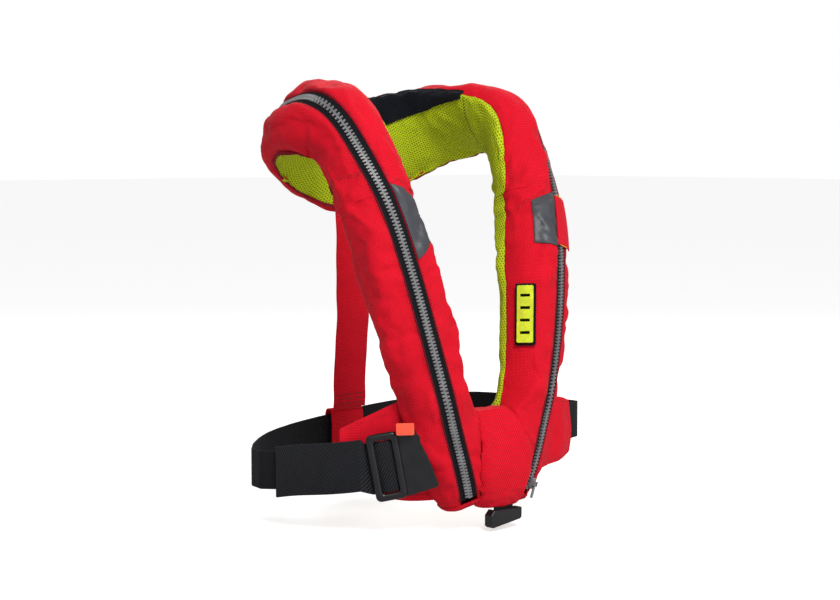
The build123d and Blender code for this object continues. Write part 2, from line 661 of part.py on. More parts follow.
# ---------------------------------------------------------------- whistle, left lobe
WHISTLE_ACROSS, WHISTLE_OUT, WHISTLE_UP = -12, 2, 20
WHISTLE_WIDTH, WHISTLE_DEEP, WHISTLE_LENGTH, WHISTLE_CORNER = 8, 14, 44, 3
WHISTLE_CORD_RADIUS, WHISTLE_CORD_LENGTH = 1.2, 60
whistle_origin = tube_plane.from_local_coords((WHISTLE_ACROSS, HARDWARE_OUT + WHISTLE_OUT, WHISTLE_UP))
whistle_place = Plane(origin=whistle_origin, x_dir=tube.x_dir, z_dir=tube_up)
with BuildPart() as whistle:
    with BuildSketch(whistle_place):
        RectangleRounded(WHISTLE_WIDTH, WHISTLE_DEEP, WHISTLE_CORNER)
    extrude(amount=WHISTLE_LENGTH)
keep(whistle.part, "whistle")
with BuildPart() as whistle_cord:
    with BuildSketch(whistle_place.offset(WHISTLE_LENGTH + 1)):
        Circle(WHISTLE_CORD_RADIUS)
    extrude(amount=WHISTLE_CORD_LENGTH)
keep(whistle_cord.part, "whistle_cord")

# ---------------------------------------------------------------- zip slider
SLIDER_T, SLIDER_GOAL_T = 0.42, 2.0
SLIDER_WIDTH, SLIDER_LENGTH, SLIDER_THICK, SLIDER_LIFT = 9.0, 12.0, 2.4, 3.8
slide_start, _, start_t = section(SLIDER_T, 1)
slide_end, _, end_t = section(SLIDER_GOAL_T, 1)
slider_foot = slide_start.from_local_coords((0, start_t + SLIDER_LIFT, 0))
slider_goal = slide_end.from_local_coords((0, end_t + SLIDER_LIFT, 0))
slide_dir = (slider_goal - slider_foot).normalized()
slider_x = (slide_dir * slide_start.x_dir.dot(slide_dir) - slide_start.x_dir).normalized()
slider_face = Plane(origin=slider_foot, x_dir=slider_x, z_dir=slider_x.cross(slide_dir))
SLIDER_CORNER, LUG_ACROSS, LUG_SIZE, LUG_HIGH = 2, 3, (1.6, 5), 3.0
with BuildPart() as zip_slider:
    with BuildSketch(slider_face):
        RectangleRounded(SLIDER_WIDTH, SLIDER_LENGTH, SLIDER_CORNER)
    extrude(amount=SLIDER_THICK)
    with BuildSketch(slider_face):
        with Locations((-LUG_ACROSS, 0), (LUG_ACROSS, 0)):
            Rectangle(*LUG_SIZE)
    extrude(amount=SLIDER_THICK + LUG_HIGH)
keep(zip_slider.part, "zip_slider")

PULL_SIZE, PULL_CORNER, PULL_THICK, PULL_DOWN = (4, 16), 1, 1.4, 7
with BuildPart() as zip_pull_tab:
    with BuildSketch(slider_face.offset(SLIDER_THICK + 0.8)):
        with Locations((0, -PULL_DOWN)):
            RectangleRounded(*PULL_SIZE, PULL_CORNER)
    extrude(amount=PULL_THICK)
keep(zip_pull_tab.part, "zip_pull_tab")
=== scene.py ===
import json
import math

import bmesh
import bpy
import numpy as np
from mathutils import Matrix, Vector, noise

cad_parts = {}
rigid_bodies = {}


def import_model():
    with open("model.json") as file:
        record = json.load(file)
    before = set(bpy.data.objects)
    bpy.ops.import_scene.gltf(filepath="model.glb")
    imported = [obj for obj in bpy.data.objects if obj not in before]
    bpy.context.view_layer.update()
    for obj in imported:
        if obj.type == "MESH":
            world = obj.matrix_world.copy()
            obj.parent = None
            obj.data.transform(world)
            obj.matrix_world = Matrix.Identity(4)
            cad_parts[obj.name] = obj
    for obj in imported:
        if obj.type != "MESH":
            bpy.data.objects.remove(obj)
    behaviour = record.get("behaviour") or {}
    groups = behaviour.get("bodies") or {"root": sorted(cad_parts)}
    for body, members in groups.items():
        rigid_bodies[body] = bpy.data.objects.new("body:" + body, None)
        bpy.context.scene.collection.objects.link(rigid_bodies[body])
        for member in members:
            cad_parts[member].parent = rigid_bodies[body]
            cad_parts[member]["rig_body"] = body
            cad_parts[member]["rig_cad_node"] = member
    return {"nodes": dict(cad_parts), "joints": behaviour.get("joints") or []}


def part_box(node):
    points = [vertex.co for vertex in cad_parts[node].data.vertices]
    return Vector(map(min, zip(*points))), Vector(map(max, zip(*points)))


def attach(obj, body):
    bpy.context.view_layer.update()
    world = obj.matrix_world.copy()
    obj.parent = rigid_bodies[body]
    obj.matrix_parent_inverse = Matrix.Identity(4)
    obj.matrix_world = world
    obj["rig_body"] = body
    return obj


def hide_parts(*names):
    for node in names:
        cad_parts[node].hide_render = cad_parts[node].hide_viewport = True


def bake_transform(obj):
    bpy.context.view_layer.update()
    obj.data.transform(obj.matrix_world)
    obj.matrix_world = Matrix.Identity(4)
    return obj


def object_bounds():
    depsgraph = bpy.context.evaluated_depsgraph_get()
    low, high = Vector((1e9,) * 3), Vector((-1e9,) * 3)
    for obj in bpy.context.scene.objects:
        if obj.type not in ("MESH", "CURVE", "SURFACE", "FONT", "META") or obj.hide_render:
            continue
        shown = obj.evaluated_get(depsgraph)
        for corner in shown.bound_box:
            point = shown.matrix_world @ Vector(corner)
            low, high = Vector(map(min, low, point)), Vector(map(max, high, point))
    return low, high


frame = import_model()
cad_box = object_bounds()

# Inflatable life jacket. Metres, +Z up, the wearer faces -Y, the wearer's left is +X.
MM = 0.001
ROUNDNESS = 2.4  # exponent of the padded section: 2 is an ellipse, more is squarer
ZIP_HALF = 9.2 * MM  # zip middle to the edge of the cover cloth
TEETH_SIZE = (6.4 * MM, 2.4 * MM)  # width and thickness of the strip that holds the teeth
TEETH_SINK = 0.6 * MM  # how far the teeth's underside is below the cover's crown
BELT_SIZE, ADJUSTER_SIZE = (40 * MM, 2 * MM), (52.6 * MM, 2 * MM)  # width and thickness
STRAP_WIDTH = 46 * MM  # the back strap and the belt loop at its foot
CLOTH_THICK = 1.6 * MM
LINING_EDGE, LINING_BACK = 104.0, 246.0  # where the lining starts and ends round the collar
LOBE_LINING = (108.0, 228.0)  # and round the lobes


# ---------------------------------------------------------------- reading the frame
def unit(a):
    return a / np.linalg.norm(a, axis=-1, keepdims=True)


def run_along(points):
    """The length from a line's first point to each of its points."""
    return np.concatenate([[0], np.cumsum(np.linalg.norm(np.diff(points, axis=0), axis=1))])


def sample(at, run, rows):
    """Rows of values, which stand at places along a run, read at other places."""
    return np.array([np.interp(at, run, column) for column in rows.T]).T


def vertices(node):
    """The CAD node's distinct vertices."""
    co = np.array([v.co for v in frame["nodes"][node].data.vertices], float)
    _, keep = np.unique(np.round(co, 6), axis=0, return_index=True)
    return co[np.sort(keep)]


def pairs_at(points, distance):
    """Index pairs of the points that stand this far apart."""
    gap = np.linalg.norm(points[:, None] - points[None], axis=2)
    i, j = np.where(np.abs(gap - distance) < 0.02 * MM)
    return [(a, b) for a, b in zip(i, j) if a < b]


def read_strip(node, width, thick, start):
    """The stations of a strip of rectangular section, in order from the one nearest start:
    middles, the directions across its width, and the directions through its thickness."""
    points = vertices(node)
    edges = pairs_at(points, width)
    mids = np.array([(points[a] + points[b]) / 2 for a, b in edges])
    dirs = np.array([(points[b] - points[a]) / width for a, b in edges])
    found = []
    for i, j in pairs_at(mids, thick):
        parallel = abs(dirs[i] @ dirs[j]) > 0.9999
        if parallel and abs((mids[i] - mids[j]) @ dirs[i]) < 0.01 * MM:
            found.append(((mids[i] + mids[j]) / 2, dirs[i], (mids[j] - mids[i]) / thick))
    order, left = [], list(range(len(found)))
    here = np.array(start, float)
    while left:
        nearest = min(left, key=lambda k: np.linalg.norm(found[k][0] - here))
        left.remove(nearest)
        order.append(nearest)
        here = found[nearest][0]
    middle = np.array([found[k][0] for k in order])
    across = np.array([found[k][1] for k in order])
    through = np.array([found[k][2] for k in order])
    for k in range(1, len(order)):
        if across[k] @ across[k - 1] < 0:
            across[k] *= -1
        if through[k] @ through[k - 1] < 0:
            through[k] *= -1
    return middle, across, through


BAND_STATIONS = 160
SHARP = 1.1  # radians between the faces at a strap's long edges


def read_band(node, start):
    """A strap standing on edge, read from the CAD node's four long sharp edges, beginning at the
    end nearest start: middles, and directions up its width."""
    bm = bmesh.new()
    bm.from_mesh(frame["nodes"][node].data)
    bmesh.ops.remove_doubles(bm, verts=bm.verts, dist=0.002 * MM)
    links = {}
    for edge in bm.edges:
        if len(edge.link_faces) == 2 and edge.calc_face_angle(0) > SHARP:
            a, b = edge.verts
            links.setdefault(a.index, []).append(b.index)
            links.setdefault(b.index, []).append(a.index)
    bm.verts.ensure_lookup_table()
    corners = {v for v, near in links.items() if len(near) != 2}
    chains = {}
    for corner in sorted(corners):
        for step in links[corner]:
            chain = [corner, step]
            while chain[-1] not in corners:
                chain.append(next(v for v in links[chain[-1]] if v != chain[-2]))
            chains[frozenset((chain[0], chain[-1], len(chain)))] = chain
    start, edges = np.array(start, float), []
    for chain in chains.values():
        points = np.array([bm.verts[v].co for v in chain], float)
        if np.linalg.norm(points[0] - start) > np.linalg.norm(points[-1] - start):
            points = points[::-1]
        run = run_along(points)
        edges.append((run[-1], sample(np.linspace(0, run[-1], BAND_STATIONS), run, points)))
    bm.free()
    edges = [e for _, e in sorted(edges, key=lambda e: -e[0])[:4]]
    edges.sort(key=lambda e: e[BAND_STATIONS // 2][2])
    return sum(edges) / 4, unit(edges[2] + edges[3] - edges[0] - edges[1])


def thickness_of(middle, across):
    """Directions through a strap's thickness, from its middles and directions across."""
    return unit(np.cross(unit(np.gradient(middle, axis=0)), across))


def spline(values, at):
    """Catmull-Rom through rows of values, which stand at whole numbers."""
    last = len(values) - 1
    padded = np.vstack([2 * values[0] - values[1], values, 2 * values[-1] - values[-2]])
    i = np.clip(np.floor(at).astype(int), 0, last - 1)
    f = (at - i)[:, None]
    p0, p1, p2, p3 = (padded[i + k] for k in range(4))
    bend = (2 * p0 - 5 * p1 + 4 * p2 - p3) * f**2
    return 0.5 * (2 * p1 + (p2 - p0) * f + bend + (3 * p1 - p0 - 3 * p2 + p3) * f**3)


SLICE_HALF = 0.4 * MM  # cloth points this near a station's plane belong to its section
SECTION_REACH, SECTION_HALF = 130 * MM, 66 * MM  # no section is longer or wider than these
STATION_GAP = 12 * MM  # stations closer than this are skipped
NECK_HALF = 30 * MM  # nearer the middle than this, both sides' cloth counts
TOE_STEP, TOE_SIZE = 0.72, (0.80, 0.78)  # the added toe station: share of a step, and of the size


class Loop:
    """The padded loop's smooth geometry, read from the cover, lining and zip nodes."""

    def __init__(self):
        low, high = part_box("left_lobe_outer_cover")
        middle, across, through = read_strip("zip_teeth", *TEETH_SIZE, (low.x, low.y, low.z))
        if through[0][1] > 0:
            through = -through
        if across[0][0] > 0:
            across = -across
        cloth = [
            vertices(f"{part}_{kind}")
            for part in ("left_lobe", "collar", "right_lobe")
            for kind in ("outer_cover", "inner_cover", "lining")
        ]
        cloth = np.vstack(cloth)
        rows, last = [], None
        for m, w, n in zip(middle, across, through):
            crown = m - n * (TEETH_SIZE[1] / 2 - TEETH_SINK)
            along = np.cross(w, n)
            d = cloth - crown
            near = (np.abs(d @ along) < SLICE_HALF) & (np.linalg.norm(d, axis=1) < SECTION_REACH)
            if abs(crown[0]) > NECK_HALF:
                near &= cloth[:, 0] * crown[0] > 0
            near &= np.abs(d @ w) < SECTION_HALF
            u, v = d[near] @ w, d[near] @ n
            half_w, half_t = (u.max() - u.min()) / 2, -v.min() / 2 * 1.01
            if last is not None and np.linalg.norm(crown - last) < STATION_GAP:
                continue
            last = crown
            rows.append(np.hstack([crown - n * half_t, n, half_w, half_t]))
        self.rows = np.array(rows)
        # carried on to the toes of both lobes
        for end, inner in ((0, 1), (-1, -2)):
            extra = self.rows[end].copy()
            step = self.rows[end] - self.rows[inner]
            extra[:3] += step[:3] * TOE_STEP
            extra[6:8] *= TOE_SIZE
            parts = [extra[None], self.rows] if end == 0 else [self.rows, extra[None]]
            self.rows = np.vstack(parts)
        dense = spline(self.rows, np.linspace(0, len(self.rows) - 1, 4000))
        run = run_along(dense[:, :3])
        self.length, self.dense, self.run = run[-1], dense, run

    def at(self, s):
        """Centre, outward, inboard, along, half width, half thickness at lengths s."""
        s = np.atleast_1d(s)
        row = sample(s, self.run, self.dense)
        ahead, behind = (sample(s + d, self.run, self.dense[:, :3]) for d in (3 * MM, -3 * MM))
        along = unit(ahead - behind)
        out = row[:, 3:6]
        out = unit(out - along * (out * along).sum(1)[:, None])
        inboard = np.cross(out, along)
        return row[:, :3], out, inboard, along, row[:, 6], row[:, 7]

    def point(self, s, angle, lift=0.0):
        """Surface points for arrays of lengths s and section angles in degrees."""
        centre, out, inboard, _, half_w, half_t = self.at(np.ravel(s))
        sn, cs = np.sin(np.radians(np.ravel(angle))), np.cos(np.radians(np.ravel(angle)))
        power = 2 / ROUNDNESS
        u = (half_w + lift) * np.sign(sn) * np.abs(sn) ** power
        v = (half_t + lift) * np.sign(cs) * np.abs(cs) ** power
        return centre + inboard * u[:, None] + out * v[:, None]

    def length_at(self, z, side):
        """The length along the loop at which the lobe's centre reaches this height."""
        half = self.dense[:, 0] * side > 0
        pick = np.where(half & (self.dense[:, 2] < 0.38))[0]
        return self.run[pick[np.argmin(np.abs(self.dense[pick, 2] - z))]]


# ---------------------------------------------------------------- mesh helpers
def mesh_object(name, points, faces, uv=None, smooth=True):
    mesh = bpy.data.meshes.new(name)
    mesh.from_pydata([tuple(p) for p in points], [], [tuple(f) for f in faces])
    if uv is not None:
        layer = mesh.uv_layers.new(name="cloth")
        index = np.zeros(len(mesh.loops), int)
        mesh.loops.foreach_get("vertex_index", index)
        layer.data.foreach_set("uv", np.asarray(uv, np.float32)[index].ravel())
    mesh.polygons.foreach_set("use_smooth", [smooth] * len(mesh.polygons))
    mesh.update()
    made = bpy.data.objects.new(name, mesh)
    bpy.context.scene.collection.objects.link(made)
    return made


def grid_faces(rows, columns, closed=False):
    i, j = np.meshgrid(np.arange(rows - 1), np.arange(columns - (0 if closed else 1)), indexing="ij")
    k = (j + 1) % columns
    a, b = i * columns + j, i * columns + k
    return np.stack([a, b, b + columns, a + columns], -1).reshape(-1, 4)


def modifier(piece, kind, **settings):
    made = piece.modifiers.new(kind.lower(), kind)
    for key, value in settings.items():
        setattr(made, key, value)
    return made


def apply_modifiers(piece):
    """Bakes the piece's modifiers into its mesh."""
    graph = bpy.context.evaluated_depsgraph_get()
    made = bpy.data.meshes.new_from_object(piece.evaluated_get(graph))
    piece.modifiers.clear()
    piece.data = made


def face_outward(piece):
    """Turns the faces of a closed mesh outward."""
    bm = bmesh.new()
    bm.from_mesh(piece.data)
    bmesh.ops.recalc_face_normals(bm, faces=bm.faces)
    bm.to_mesh(piece.data)
    bm.free()


def slab(name, layers, width, flip=False):
    """A plate between two layers of one outline, with its edges bevelled to this width."""
    count = len(layers) // 2
    faces = [tuple(range(count))[::-1], tuple(range(count, 2 * count))]
    faces += [(k, (k + 1) % count, count + (k + 1) % count, count + k) for k in range(count)]
    if flip:
        faces = [(f[0], *f[:0:-1]) for f in faces]
    piece = mesh_object(name, layers, faces, smooth=False)
    modifier(piece, "BEVEL", width=width, segments=3)
    apply_modifiers(piece)
    return piece


def place(piece, body, slot, material, *replaced):
    """Gives the piece its material and its body, and hides the CAD nodes that it stands for."""
    piece.data.materials.clear()
    piece.data.materials.append(material)
    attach(piece, body)
    if replaced:
        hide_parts(*replaced)
    return piece


def soft_noise(points, scale, octaves=3):
    return np.array([noise.fractal(Vector(p) / scale, 0.8, 2.0, octaves) for p in points])


# ---------------------------------------------------------------- materials
class Nodes:
    """A few shader nodes in a row, for procedural materials in metres."""

    def __init__(self, name, use_uv=False):
        self.material = bpy.data.materials.new(name)
        self.material.use_nodes = True
        self.tree = self.material.node_tree
        self.shader = self.tree.nodes["Principled BSDF"]
        texture = self.node("ShaderNodeTexCoord")
        self.coords = self.flat = texture.outputs["UV" if use_uv else "Object"]
        if not use_uv:
            apart, together = self.node("ShaderNodeSeparateXYZ"), self.node("ShaderNodeCombineXYZ")
            self.link(self.coords, apart.inputs[0])
            self.link(self.math("SUBTRACT", apart.outputs["X"], apart.outputs["Y"]), together.inputs["X"])
            self.link(apart.outputs["Z"], together.inputs["Y"])
            self.flat = together.outputs[0]

    def node(self, kind, **settings):
        made = self.tree.nodes.new(kind)
        for key, value in settings.items():
            if key in made.inputs:
                made.inputs[key].default_value = value
            else:
                setattr(made, key, value)
        return made

    def link(self, output, target):
        self.tree.links.new(output, target)

    def math(self, operation, a, b=0.0):
        made = self.node("ShaderNodeMath", operation=operation)
        for value, socket in zip((a, b), made.inputs):
            if isinstance(value, (int, float)):
                socket.default_value = value
            else:
                self.link(value, socket)
        return made.outputs[0]

    def ribs(self, pitch, angle):
        """A sine rib pattern, 0 to 1, with this pitch, turned by angle in the UV plane."""
        turn = self.node("ShaderNodeMapping")
        turn.inputs["Rotation"].default_value = (0, 0, math.radians(angle))
        self.link(self.flat, turn.inputs["Vector"])
        wave = self.node("ShaderNodeTexWave", wave_type="BANDS", bands_direction="X")
        # a wave texture of scale 1 repeats every pi / 10
        wave.inputs["Scale"].default_value = math.pi / 10 / pitch
        self.link(turn.outputs[0], wave.inputs["Vector"])
        return wave.outputs["Fac"]

    def noise(self, scale, detail=3.0, roughness=0.6):
        made = self.node("ShaderNodeTexNoise")
        made.inputs["Scale"].default_value = scale
        made.inputs["Detail"].default_value = detail
        made.inputs["Roughness"].default_value = roughness
        self.link(self.coords, made.inputs["Vector"])
        return made.outputs["Fac"]

    def colour(self, factor, dark, light, low=0.0, high=1.0):
        ramp = self.node("ShaderNodeValToRGB")
        for element, at, rgb in zip(ramp.color_ramp.elements, (low, high), (dark, light)):
            element.position = at
            element.color = (*rgb, 1)
        self.link(factor, ramp.inputs["Fac"])
        return ramp.outputs["Color"]

    def bump(self, height, distance, strength=1.0, under=None):
        made = self.node("ShaderNodeBump")
        made.inputs["Distance"].default_value = distance
        made.inputs["Strength"].default_value = strength
        self.link(height, made.inputs["Height"])
        if under is not None:
            self.link(under, made.inputs["Normal"])
        return made.outputs["Normal"]

    def finish(self, colour, roughness, normal=None, **shader):
        self.link(colour, self.shader.inputs["Base Color"])
        if isinstance(roughness, (int, float)):
            self.shader.inputs["Roughness"].default_value = roughness
        else:
            self.link(roughness, self.shader.inputs["Roughness"])
        if normal is not None:
            self.link(normal, self.shader.inputs["Normal"])
        for key, value in shader.items():
            self.shader.inputs[key.replace("_", " ")].default_value = value
        return self.material


MOTTLE = 0.25  # share of a cloth's tone that is broad mottling


def woven(name, dark, light, pitch, angles, depth, use_uv=True):
    """Woven cloth: two crossing rib patterns, a little mottling and fuzz."""
    n = Nodes(name, use_uv)
    one, two = (n.ribs(pitch, a) for a in angles)
    weave = n.math("MULTIPLY", one, two)
    fuzz = n.noise(900, 2)
    broad = n.noise(25, 4)
    tone = n.math("ADD", n.math("MULTIPLY", weave, 1 - MOTTLE), n.math("MULTIPLY", broad, MOTTLE * 1.4))
    colour = n.colour(n.math("ADD", tone, n.math("MULTIPLY", fuzz, 0.12)), dark, light, 0.0, 0.9)
    height = n.math("ADD", weave, n.math("MULTIPLY", fuzz, 0.4))
    normal = n.bump(height, depth, 1.0, n.bump(broad, 1.2 * MM, 0.5))
    return n.finish(
        colour, 0.8, normal, Sheen_Weight=0.02, Sheen_Roughness=0.4, Specular_IOR_Level=0.12
    )


def spacer_mesh(name, dark, light):
    """Knitted spacer mesh: rows of small holes, staggered."""
    n = Nodes(name, True)
    one, two, three = (n.ribs(MESH_PITCH, a) for a in (30, -30, 90))
    holes = n.math("MULTIPLY", n.math("ADD", one, n.math("ADD", two, three)), 1 / 3)
    broad = n.noise(30, 3)
    tone = n.math("ADD", n.math("MULTIPLY", holes, 1.2), n.math("MULTIPLY", broad, 0.25))
    colour = n.colour(tone, dark, light, 0.2, 0.95)
    normal = n.bump(holes, 0.8 * MM, 1.0, n.bump(broad, 2 * MM, 0.5))
    return n.finish(colour, 0.85, normal, Specular_IOR_Level=0.15)


def fleece(name, rgb):
    """Soft pile, fine and uneven."""
    n = Nodes(name, True)
    pile = n.noise(700, 4, 0.8)
    broad = n.noise(60, 3)
    tone = n.math("ADD", n.math("MULTIPLY", pile, 0.7), n.math("MULTIPLY", broad, 0.4))
    colour = n.colour(tone, tuple(c * 0.3 for c in rgb), tuple(c * 1.8 for c in rgb), 0.2, 0.9)
    return n.finish(colour, 0.95, n.bump(pile, 1.2 * MM), Sheen_Weight=0.05, Specular_IOR_Level=0.1)


def plastic(name, rgb, roughness=0.45, grain=0.25, specular=0.5):
    """Moulded plastic: fine spark grain, slight tone change and rubbed patches."""
    n = Nodes(name)
    fine = n.noise(2600, 2)
    broad = n.noise(70, 3)
    colour = n.colour(broad, tuple(c * 0.8 for c in rgb), tuple(c * 1.25 for c in rgb), 0.3, 0.7)
    rough = n.math("ADD", n.math("MULTIPLY", broad, 0.2), roughness - 0.1)
    return n.finish(colour, rough, n.bump(fine, 0.15 * MM, grain), Specular_IOR_Level=specular)


def metal(name, rgb):
    """Plated steel with fine scratches."""
    n = Nodes(name)
    scratch = n.noise(900, 4)
    colour = n.colour(scratch, tuple(c * 0.8 for c in rgb), rgb, 0.3, 0.7)
    rough = n.math("ADD", n.math("MULTIPLY", scratch, 0.25), 0.25)
    return n.finish(colour, rough, n.bump(scratch, 0.1 * MM, 0.2), Metallic=1.0)


def reflective(name, rgb):
    """Reflective tape: glass beads under a fine diagonal lattice."""
    n = Nodes(name, True)
    beads = n.noise(1500, 2)
    lattice = n.math("MULTIPLY", n.ribs(2.2 * MM, 45), n.ribs(2.2 * MM, -45))
    broad = n.noise(20, 3)
    tone = n.math("ADD", n.math("MULTIPLY", lattice, 0.3), n.math("MULTIPLY", broad, 0.7))
    colour = n.colour(tone, tuple(c * 0.75 for c in rgb), tuple(c * 1.3 for c in rgb), 0.2, 0.8)
    normal = n.bump(beads, 0.2 * MM, 0.4, n.bump(broad, 1 * MM, 0.4))
    return n.finish(colour, 0.42, normal, Specular_IOR_Level=0.35)


MESH_PITCH = 2.9 * MM  # rows of holes in the lining
RED_DARK, RED_LIGHT = (0.33, 0.001, 0.008), (0.84, 0.006, 0.024)
BLACK_DARK = (0.002, 0.002, 0.003)
MATERIALS = {
    "cover": woven("cover_cloth", RED_DARK, RED_LIGHT, 1.5 * MM, (90, 0), 0.25 * MM),
    "panel": woven("panel_cloth", RED_DARK, RED_LIGHT, 2.3 * MM, (28, -28), 0.3 * MM, use_uv=False),
    "strap": woven("strap_cloth", RED_DARK, RED_LIGHT, 1.6 * MM, (90, 0), 0.2 * MM),
    "piping": woven("piping_cloth", (0.12, 0.002, 0.008), (0.30, 0.006, 0.02), 1.4 * MM, (45, -45), 0.2 * MM),
    "flap": woven("flap_cloth", RED_DARK, RED_LIGHT, 1.6 * MM, (45, -45), 0.2 * MM),
    "lining": spacer_mesh("lining_mesh", (0.15, 0.19, 0.002), (0.46, 0.55, 0.012)),
    "fleece": fleece("neck_fleece_pile", (0.004, 0.0045, 0.008)),
    "tape": woven("zip_tape_weave", BLACK_DARK, (0.010, 0.011, 0.014), 1.3 * MM, (90, 0), 0.2 * MM),
    "webbing": woven("webbing_weave", BLACK_DARK, (0.016, 0.016, 0.020), 2.0 * MM, (0, 90), 0.3 * MM),
    "ribbed": woven(
        "ribbed_webbing", (0.001, 0.001, 0.0015), (0.028, 0.029, 0.034), 2.5 * MM, (128, 128), 0.8 * MM
    ),
    "salmon": woven(
        "tab_cloth", (0.65, 0.06, 0.03), (1.0, 0.14, 0.08), 1.2 * MM, (90, 0), 0.2 * MM, use_uv=False
    ),
    "bladder": woven(
        "bladder_cloth", (0.55, 0.30, 0.01), (0.85, 0.55, 0.03), 0.9 * MM, (90, 0), 0.1 * MM, use_uv=False
    ),
    "cord": woven(
        "cord_braid", (0.003, 0.003, 0.004), (0.03, 0.03, 0.035), 1.5 * MM, (45, -45), 0.2 * MM, use_uv=False
    ),
    "reflective": reflective("reflective_tape", (0.046, 0.048, 0.056)),
    "teeth": plastic("zip_teeth_plastic", (0.135, 0.135, 0.14), 0.4),
    "black": plastic("buckle_plastic", (0.006, 0.006, 0.0075), 0.34, 0.15, 0.35),
    "thread": plastic("red_thread", (0.30, 0.002, 0.008), 0.7),
    "dark_thread": plastic("dark_thread", (0.015, 0.014, 0.018), 0.7),
    "yellow_thread": plastic("yellow_thread", (0.8, 0.5, 0.01), 0.7),
    "plate": plastic("plate_plastic", (0.0085, 0.009, 0.011), 0.5, 0.6, 0.3),
    "lime": plastic("ladder_plastic", (0.50, 0.58, 0.006), 0.5, 0.2),
    "orange": plastic("orange_plastic", (0.75, 0.16, 0.01), 0.4),
    "rubber": plastic("seal_rubber", (0.02, 0.02, 0.02), 0.8),
    "steel": metal("cylinder_steel", (0.55, 0.55, 0.57)),
}
# each thread's slot name: the fabric nearest to its colour
THREAD_SLOTS = {"red_thread": "red_cloth", "dark_thread": "black_webbing", "yellow_thread": "bladder"}

# ---------------------------------------------------------------- padded loop
loop = Loop()
CELL = 4.5 * MM
SEAM_HEIGHT = 336 * MM  # of the lobe's centre where lobe and collar are joined
LEFT_SEAM, RIGHT_SEAM = (loop.length_at(SEAM_HEIGHT, side) for side in (1, -1))
SEAM_SPOTS = {1: LEFT_SEAM, -1: RIGHT_SEAM}
# the sewn seam over each lobe: height of the lobe's centre at angles round the section
SEAM_TURNS = (0, 12, 50, 104, 243, 300, 348, 360)
SEAM_HEIGHTS = {
    1: (0.334, 0.331, 0.319, 0.306, 0.330, 0.336, 0.336, 0.334),
    -1: (0.350, 0.344, 0.329, 0.322, 0.348, 0.356, 0.351, 0.350),
}


def seam_length(side, angle):
    """Length along the loop at which this lobe's seam crosses an angle round the section."""
    heights = np.linspace(0.29, 0.37, 41)
    lengths = np.array([loop.length_at(z, side) for z in heights])
    return np.interp(np.interp(np.mod(angle, 360), SEAM_TURNS, SEAM_HEIGHTS[side]), heights, lengths)


COLLAR_SEAM_OFF = 118 * MM  # from the cover's seam up to the seam across the collar's lining
CLOTH_LIFT = 0.6 * MM  # the cloth stands this far off the CAD surface
ROWS = int(loop.length / CELL)
COLUMNS = 56


def zip_edge_angle(half_w):
    """The section angle at which the cloth starts beside the zip."""
    return np.degrees(np.arcsin((ZIP_HALF / half_w) ** (ROUNDNESS / 2)))


def loop_grid():
    """The whole padded tube, open along the zip: lengths, angles and points on a grid."""
    s = np.linspace(0, loop.length, ROWS)
    half_w = loop.at(s)[4]
    first = zip_edge_angle(half_w)
    share = np.linspace(0, 1, COLUMNS)
    angle = first[:, None] + (360 - 2 * first[:, None]) * share[None]
    length = np.repeat(s[:, None], COLUMNS, 1)
    points = loop.point(length, angle, CLOTH_LIFT).reshape(ROWS, COLUMNS, 3)
    return s, angle, points


def nearest_row(s, value):
    return int(np.argmin(np.abs(s - value)))


CLOTH_FRAMES = 18


def simulate(piece, pins, pressure, shrink, cap):
    """Inflates a pinned cloth that is cut slightly larger than its place, so that it creases."""
    rest = np.array([v.co for v in piece.data.vertices])
    group = piece.vertex_groups.new(name="pins")
    for weight in sorted(set(pins.tolist())):
        if weight > 0:
            group.add(np.where(pins == weight)[0].tolist(), weight, "REPLACE")
    cloth = modifier(piece, "CLOTH")
    settings = cloth.settings
    settings.quality = 6
    settings.mass = 0.25
    settings.tension_stiffness = settings.compression_stiffness = 25
    settings.shear_stiffness = 12
    settings.bending_stiffness = 0.15
    settings.vertex_group_mass = "pins"
    settings.pin_stiffness = 4
    settings.shrink_min = shrink
    settings.use_pressure = True
    settings.uniform_pressure_force = pressure
    settings.effector_weights.gravity = 0
    cloth.collision_settings.use_self_collision = False
    scene = bpy.context.scene
    for number in range(1, CLOTH_FRAMES + 1):
        scene.frame_set(number)
    graph = bpy.context.evaluated_depsgraph_get()
    moved = np.array([v.co for v in piece.evaluated_get(graph).data.vertices])
    piece.modifiers.clear()
    scene.frame_set(1)
    shift = moved - rest
    size = np.linalg.norm(shift, axis=1, keepdims=True)
    return rest + shift * np.minimum(1, cap / np.maximum(size, 1e-9))


s_rows, angles, tube = loop_grid()
SEAM_ROWS = [nearest_row(s_rows, LEFT_SEAM), nearest_row(s_rows, RIGHT_SEAM)]
mean_angle = angles.mean(0)
LOBE_LINES, COLLAR_LINES = (
    [int(np.argmin(np.abs(mean_angle - a))) for a in pair]
    for pair in (LOBE_LINING, (LINING_EDGE, LINING_BACK))
)
SPANS = (
    ("left_lobe", 0, SEAM_ROWS[0], LOBE_LINES),
    ("collar", SEAM_ROWS[0], SEAM_ROWS[1], COLLAR_LINES),
    ("right_lobe", SEAM_ROWS[1], ROWS - 1, LOBE_LINES),
)

# how free the cloth is: not at all under the ladder, which is sewn down flat
ladder_spot = np.array(sum(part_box("accessory_ladder"), Vector())) / 2
ladder_away = np.linalg.norm((tube - ladder_spot) * np.array([1, 1, 0.6]), axis=2, keepdims=True)
free = np.clip((ladder_away - 22 * MM) / (16 * MM), 0, 1)


def outward_of(grid):
    """Unit normals of the padded tube's grid of points, away from the loop's centre line."""
    face = unit(np.cross(np.gradient(grid, axis=0), np.gradient(grid, axis=1)))
    return face * np.sign(((grid - loop.at(s_rows)[0][:, None]) * face).sum(2).mean())


